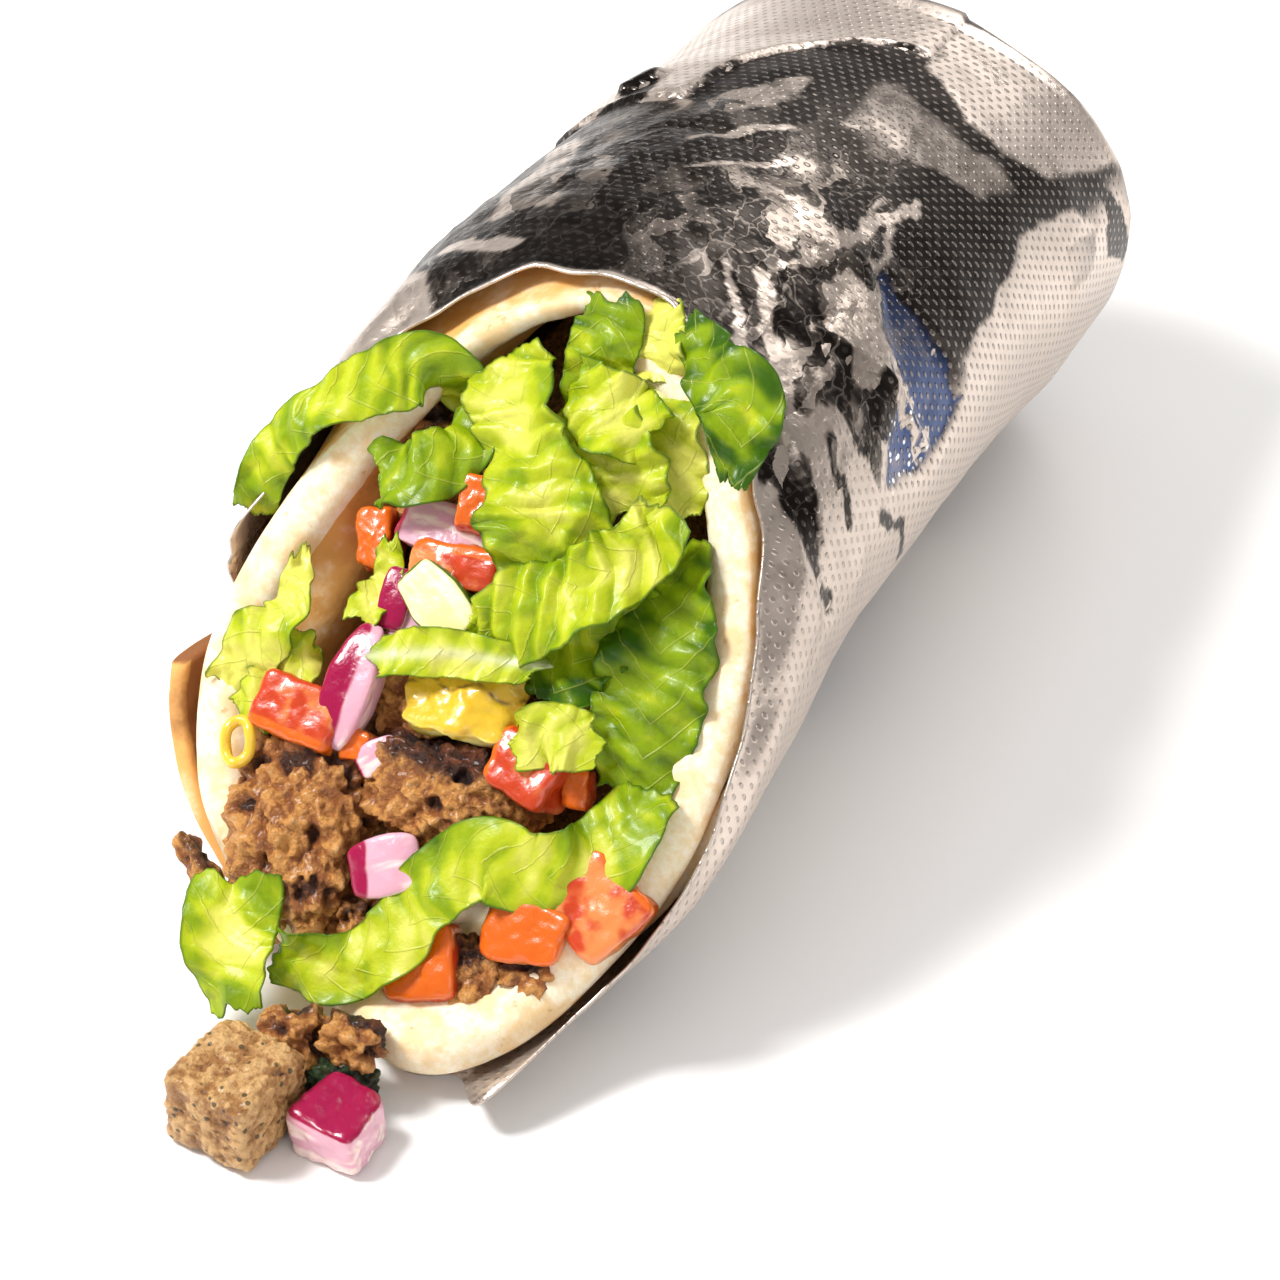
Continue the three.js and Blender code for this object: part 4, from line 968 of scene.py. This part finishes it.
def leaf(name, seed, path, width, roll=0, ruffle=1.0, waves=2.0, tone_and_shade=0.5, rib=0.0, pleat=0.25,
         blister=0.2, ragged=0.12):
    """A strip of lettuce along a path in the mouth's frame, crumpled, with a ragged edge."""
    rows, columns = ((140, 42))
    centre, tangent, length = curve_points(path, rows)
    side = np.cross(tangent, np.array([0.0, 0.0, 1.0]))
    side /= np.linalg.norm(side, axis=1, keepdims=True)
    up = np.cross(side, tangent)
    t = np.linspace(0, 1, rows)[:, None]
    s = np.linspace(-1, 1, columns)[None, :]

    def zigzag(x):
        return 2 * tri_wave(x) - 1

    def wander(x, octave_seed):
        """Uneven values along a line."""
        return fbm(np.stack([x, 0 * x + seed, 0 * x], -1), 4, octave_seed)

    angle = np.radians(roll + 20 * zigzag(0.5 * waves * t + 0.27 * seed))
    turned = side[:, None, :] * np.cos(angle)[..., None] + up[:, None, :] * np.sin(angle)[..., None]
    raised = np.cross(turned, tangent[:, None, :])
    wide = soft_interp(t[:, 0], np.linspace(0, 1, len(width)), width, 0.08)[:, None]
    left, right = [1 + ragged * wander(t[:, 0] * length / EDGE_WAVE, seed + k)[:, None] for k in (0, 40)]
    half = (wide / 2) * (1 - 0.1 * np.abs(2 * t - 1) ** 8) * np.where(s < 0, left, right)
    flat = np.stack(np.broadcast_arrays(t * length, s * wide / 2, seed + 0 * t * s), -1).reshape(-1, 3)
    wave = ruffle * np.abs(s) ** 1.2 * zigzag(waves * t + 0.16 * seed + 0.2 * s)
    wave = wave + 0.5 * ruffle * np.abs(s) ** 2.5 * np.sin(2 * math.pi * waves * 2.7 * t + 2 * seed - 2 * s)
    x = flat[:, 0] + 1.2 * fbm(flat / 5, 2, seed + 2)
    y = flat[:, 1] + 1.2 * fbm(flat / 5, 2, seed + 8)
    crease = facets(x / 5.5, y / 5.5, seed + 21)
    fine = facets(x / 2.4, y / 2.4, seed + 31)
    fold = tri_wave((x + 0.5 * y) / 3.6) - 0.5
    puff = 0.45 - cells(np.stack([x, y, 0 * x], -1) / 1.9, seed + 5)
    bumps = (0.7 + 1.4 * ruffle) * crease + 0.6 * fine + 1.5 * pleat * fold + blister * puff
    height = wave + bumps.reshape(rows, columns)
    toward_end = np.abs(2 * t - 1) ** 6 * np.sign(2 * t - 1)
    uneven = toward_end * 1.5 * wander(s[0] * 1.6, seed + 3)[None, :]
    grid = centre[:, None, :] + turned * (s * half)[..., None] + raised * height[..., None]
    grid = grid + tangent[:, None, :] * uneven[..., None]
    points, faces = sheet_mesh(from_mouth(grid), LEAF_THICKNESS)
    edge = np.broadcast_to(np.maximum(np.abs(s), np.abs(2 * t - 1) ** 3), (rows, columns)).ravel()
    # the leaf's tone and a darker edge, with painted light and shade across its creases and folds
    shade = tone_and_shade - 0.12 + 0.22 * (edge - 0.5) + 0.75 * crease + 0.3 * fine - 0.25 * fold
    ribs = (rib * bump(s, 0, 0.25) * np.ones_like(t)).ravel()
    uv = np.tile(flat[:, :2], (2, 1)) + np.array([40.0 * seed, 0.0])
    values = {"tone_and_shade": np.tile(shade, 2), "edge": np.tile(edge, 2), "rib": np.tile(ribs, 2)}
    make_object("lettuce_" + name, "lettuce", points, faces, uv=uv, **values)


def pieces():
    meat("meat_front_left", 1, [28, 18, 17], [-17.2, -25.2, -3.5], 103, level=6)
    meat("meat_charred", 2, [21, 14, 15], [0.3, -14.8, -3], 8, level=6, char=1.0, char_dir=(0.2, 1, 0.1))
    meat("meat_middle", 3, [9, 11, 9], [-9, -5.6, -4.5], 30)
    meat("meat_dark_middle", 4, [8, 13, 12], [8.6, -11.5, -4], 10, char=1.0)
    meat("meat_front_right", 5, [9, 10, 9], [11.8, -35.5, -1], 20, char=0.7)
    meat("meat_dark_front", 6, [9, 6.5, 8], [18.8, -33, -1], 15, char=1.0)
    meat("meat_right_edge", 7, [6.5, 10, 9], [25.6, -13.6, -4], 20)
    meat("meat_back", 8, [12, 9, 8], [-16.5, 28.5, -8], 15, char=0.7)
    meat("meat_back_low", 15, [13, 8, 8], [-13.5, 20.5, -6], 10, char=0.2)
    meat("meat_crumb_front", 9, [10, 7, 8], [-6.5, -34, -2.5], 0, char=0.5)
    meat("meat_in_fold", 16, [9.5, 3.4, 5], [-28.4, -33.4, 0], -35, crag=0.6, lump=0.4, char=0.6)

    dice("tomato_left", 1, [11.5, 7.8, 6.5], [-19.8, -11, 1.5], -4, skin=(0, -1, 0.2))
    dice("tomato_back_left", 2, [5, 8, 6], [-19.8, 12.8, -4], 15)
    dice("tomato_slice", 3, [12.5, 6, 5], [-6.2, 12.4, 1], 8, skin=(0, 1, 0.3), lean=-5)
    dice("tomato_upper", 4, [7, 4.5, 5], [-6.7, 20.7, 0], 100)
    dice("tomato_sliver", 5, [8, 4, 4], [16, 2.4, 0], 80)
    dice("tomato_pink", 6, [9.5, 8.5, 6], [11.6, -8.4, 1.5], -8, skin=(-1, 0, 0))
    dice("tomato_chip", 7, [3.5, 5, 4], [17.6, -9.6, 0], 10)
    dice("tomato_skin_left", 8, [10, 9.5, 6], [5.5, -36.3, 2], 20)
    dice("tomato_skin_middle", 9, [11, 8, 6], [17.4, -28, 2], 2)
    dice("tomato_front_right", 10, [11, 11.5, 7], [25, -22.6, 1], 60, skin=(1, 0, 0), pale=0.45)
    dice("tomato_small", 11, [4, 4.5, 4], [-12.2, -13, 1], 0)
    dice("tomato_deep", 12, [6.5, 5, 5], [9.6, 38.4, -5], 0)

    slab("onion_white", 1, [13.5, 7, 3], [-10, 16.4, -0.5], 0, tip=-15, radius=14, skin=(-1, 0, 0))
    slab("onion_strip", 2, [7.5, 4.2, 3], [-13, 6.3, 1], 95, radius=12)
    slab("onion_wedge", 3, [16, 6.6, 4.6], [-14.6, -6, 2.5], 88, radius=20, taper=0.55, skin=(0, 0.5, 1))
    slab("onion_pink", 4, [7, 4.5, 3], [-9.8, 3.6, 0], 10, radius=12, skin=(-1, 0, 0))
    slab("onion_front", 5, [9, 8, 3.5], [-2.2, -26, 4], 30, radius=12, skin=(-0.9, 0.1, 0.45))
    slab("onion_small", 6, [5.5, 4.5, 3], [-8.5, -13.3, 1.5], 45, radius=10, skin=(-1, 0, 0))
    slab("cucumber_piece", 7, [11, 7.5, 5], [-6.4, 7.4, 2.6], -30, radius=60, taper=0.35, slot="cucumber",
         edge_skin=1.0)
    slab("pepper_strip", 8, [15, 10, 3.6], [0.4, -3.2, 2.6], 5, tip=-12, radius=16, slot="pepper",
         wobble=0.9, seam=1.0)
    ring("pepper_ring", [5, 7], 1.5, [-26.6, -17, 4], 10)

    leaf("pale", 1, [[6, 51, -1], [9.5, 46.5, 1], [11.5, 42.5, 0]], [8, 10, 8], ruffle=1.3, tone_and_shade=-0.1)
    leaf("right_wall", 17, [[10.8, 41.6, -1], [15.4, 35.2, 0.5], [18.6, 26, -0.5]], [8, 9, 8], tone_and_shade=0.35)
    leaf("centre_side", 5, [[1.2, 36.8, 0], [8.4, 31.7, 2.5], [13.4, 24.6, 1.5]], [10, 14, 12], ruffle=1.5,
         tone_and_shade=0.3, blister=0.5)
    leaf("tall", 2, [[4.6, 34.5, 1], [4.2, 43.5, 3], [1.9, 50.5, 0]], [8, 9, 8], ruffle=0.8, tone_and_shade=0.75,
         roll=-12)
    leaf("flare", 18, [[1, 39.5, 3], [8.2, 36.4, 5], [15, 34.7, 3.5]], [6, 11, 9], ruffle=1.1, tone_and_shade=0.4)
    leaf("right", 3, [[19.4, 22.5, -1], [22.2, 11, 1.5], [24, 1, 2], [24.6, -8.6, 1]], [11, 14.5, 14, 9.5],
         ruffle=1.4, tone_and_shade=0.85)
    leaf("dark", 4, [[16, 17, -1], [13, 8.5, 3], [11, -1, 1.5]], [11, 13, 10], ruffle=1.3, tone_and_shade=0.9)
    leaf("centre", 6, [[-10, 39.2, 0.5], [-5.6, 34.6, 3], [-1.6, 28.7, 5], [3.8, 22.3, 6], [7, 15.5, 4.5]],
         [12, 12.5, 12, 17, 14], ruffle=1.2, tone_and_shade=0.42, blister=0.5, pleat=0.4)
    leaf("centre_strip", 7, [[-0.2, 4, 3.5], [5.2, 8.4, 6.5], [11.8, 13.9, 7.2], [16.8, 19, 6.8],
         [19.2, 26.5, 5]], [10, 12.5, 12, 10, 8.5], ruffle=0.9, tone_and_shade=0.42, pleat=0.7, waves=2.5)
    leaf("strip_left", 8, [[-10.5, 31.6, -1], [-10.6, 27.1, 2], [-14.2, 22.6, 3.8], [-20.6, 20.1, 2.6]],
         [6, 8, 9.5, 10], ruffle=0.7, tone_and_shade=0.6)
    leaf("over_rim", 9, [[-12.9, 33.5, -4], [-17.9, 35.4, 2.4], [-23, 32.2, 3.8], [-30, 26.8, 3],
         [-35.4, 20.2, 1], [-37.4, 11.6, -3]], [8.5, 10, 8.5, 7, 6.5, 5.5], ruffle=0.9, tone_and_shade=0.6, roll=10)
    leaf("outside_right", 10, [[13.7, 49.2, 2.5], [19.2, 45.4, 5.5], [25, 41.8, 7.2], [26.6, 32.5, 6.4]],
         [5, 10, 11, 4], ruffle=0.8, tone_and_shade=0.85)
    leaf("left_inside", 11, [[-31.5, -12.5, 0], [-29, -5.5, 2.2], [-26.2, 0.6, 2.8], [-27.6, 8.8, 1]],
         [8, 9.5, 7, 1.6], ruffle=1.1, tone_and_shade=0.1)
    leaf("left_lobe", 19, [[-27.6, -14, 1], [-24, -8, 2.2], [-22.8, -1.6, 1]], [8, 9, 5], ruffle=1.2,
         tone_and_shade=0.25)
    leaf("shred", 12, [[-16.7, 12.9, 0], [-15, 8.1, 2], [-16.8, 2.4, 2]], [2.6, 4.5, 6], ruffle=0.6,
         tone_and_shade=0.3)
    leaf("rib_left", 13, [[-12, -1.4, 5], [-1.6, 1.7, 6.8], [9.6, 3.6, 4.5]], [6.4, 6, 4.6], ruffle=0.6,
         tone_and_shade=0.45, rib=0.6)
    leaf("light", 14, [[9.6, -6.4, 5.5], [14.5, -3.7, 6.6], [19.5, -3.2, 5]], [8, 9.5, 7], ruffle=0.5,
         tone_and_shade=0.4)
    leaf("front", 15, [[27.2, -6.8, 1.5], [24.6, -17, 4.5], [18, -21, 6], [10.5, -21.4, 6.6], [5, -27, 6],
         [1.6, -35.2, 5.5], [-4.6, -40.4, 5], [-12.6, -40.6, 4.5]],
         [9.5, 12.5, 10.5, 10.5, 10, 9, 8.5, 8.5], ruffle=0.9, waves=3, tone_and_shade=0.5, pleat=0.15, blister=0.1,
         ragged=0.07)
    leaf("lip", 16, [[-20.6, -33.6, 5.2], [-18.4, -41.2, 7.2], [-15, -48.4, 6.4]], [13, 12.5, 9],
         ruffle=0.6, waves=1.5, tone_and_shade=0.62, pleat=0.1, blister=0.1, ragged=0.07)

    meat("meat_spilled_brown", 11, [9, 7.5, 11], [-5.2, -92.2, 5.8], 10, char=0.5, mouth=False)
    meat("meat_spilled_dark", 12, [8.5, 5.5, 6], [3.0, -91.6, 9.0], 0, char=1.0, mouth=False)
    meat("meat_spilled_cube", 10, [13.4, 14.2, 11.4], [-7.6, -103.3, 5.8], -8, square=9, crag=0.45,
         lump=0.3, level=6, herbs=0.8, fair=1.0, mouth=False)
    dice("onion_spilled", 14, [9.2, 9.2, 7], [5.4, -100.4, 3.6], -8, skin=(0, 0, 1), slot="onion",
         mouth=False)
    meat("herb_leaf", 13, [9.5, 4.4, 7], [2.8, -93.8, 3.8], 10, square=2.2, slot="herb", mouth=False)


# stage, light and camera
FLOOR_REACH = 6.0
CAMERA_AZIMUTH = math.radians(26)
CAMERA_ELEVATION = math.radians(40)
CAMERA_PLACE = (0.25309, -0.52421, 0.49224)


def floor():
    reach = FLOOR_REACH
    mesh = bpy.data.meshes.new("floor")
    corners = [(-reach, -reach, 0), (reach, -reach, 0), (reach, reach, 0), (-reach, reach, 0)]
    mesh.from_pydata(corners, [], [(0, 1, 2, 3)])
    s = Shader("floor")
    mesh.materials.append(s.finish(s.principled(Base_Color=rgb("#f4f2f0"), Roughness=0.9)))
    made = bpy.data.objects.new("floor", mesh)
    bpy.context.collection.objects.link(made)


def area_light(name, location, target, size, power):
    data = bpy.data.lights.new(name, "AREA")
    data.shape = "RECTANGLE"
    data.size, data.size_y = size
    data.energy = power
    made = bpy.data.objects.new(name, data)
    made.location = location
    made.rotation_euler = (Vector(target) - Vector(location)).to_track_quat("-Z", "Y").to_euler()
    bpy.context.collection.objects.link(made)


def lights():
    area_light("key", (-0.45, -0.25, 0.75), (0, -0.03, 0.03), (0.24, 0.24), 9.5)
    area_light("fill", (0.7, -0.6, 0.5), (0, -0.03, 0.03), (0.5, 0.5), 1.5)
    area_light("back", (0.1, 0.7, 0.6), (0, 0.03, 0.03), (0.6, 0.3), 3.0)


def world():
    """A white room that shows as grey in reflections."""
    s = Shader("world", bpy.data.worlds)
    reflected = s.node("ShaderNodeLightPath").outputs["Is Glossy Ray"]
    pale = s.node("ShaderNodeBackground", {0: (1, 1, 1, 1), 1: 0.62}).outputs[0]
    grey = s.node("ShaderNodeBackground", {0: (0.20, 0.19, 0.185, 1)}).outputs[0]
    room = s.node("ShaderNodeMixShader", {0: reflected, 1: pale, 2: grey}).outputs[0]
    s.node("ShaderNodeOutputWorld", {0: room})
    bpy.context.scene.world = s.owner


def camera():
    level = math.cos(CAMERA_ELEVATION)
    back = (math.sin(CAMERA_AZIMUTH) * level, -math.cos(CAMERA_AZIMUTH) * level, math.sin(CAMERA_ELEVATION))
    data = bpy.data.cameras.new("camera")
    data.sensor_width = 36
    data.lens = 157.5
    data.clip_start, data.clip_end = 0.05, 20
    made = bpy.data.objects.new("camera", data)
    made.location = CAMERA_PLACE
    made.rotation_euler = Vector(back).to_track_quat("Z", "Y").to_euler()
    bpy.context.collection.objects.link(made)
    bpy.context.scene.camera = made


foil()
bread()
filling()
pieces()
floor()
world()
lights()
camera()
bpy.context.scene.view_settings.view_transform = "Standard"
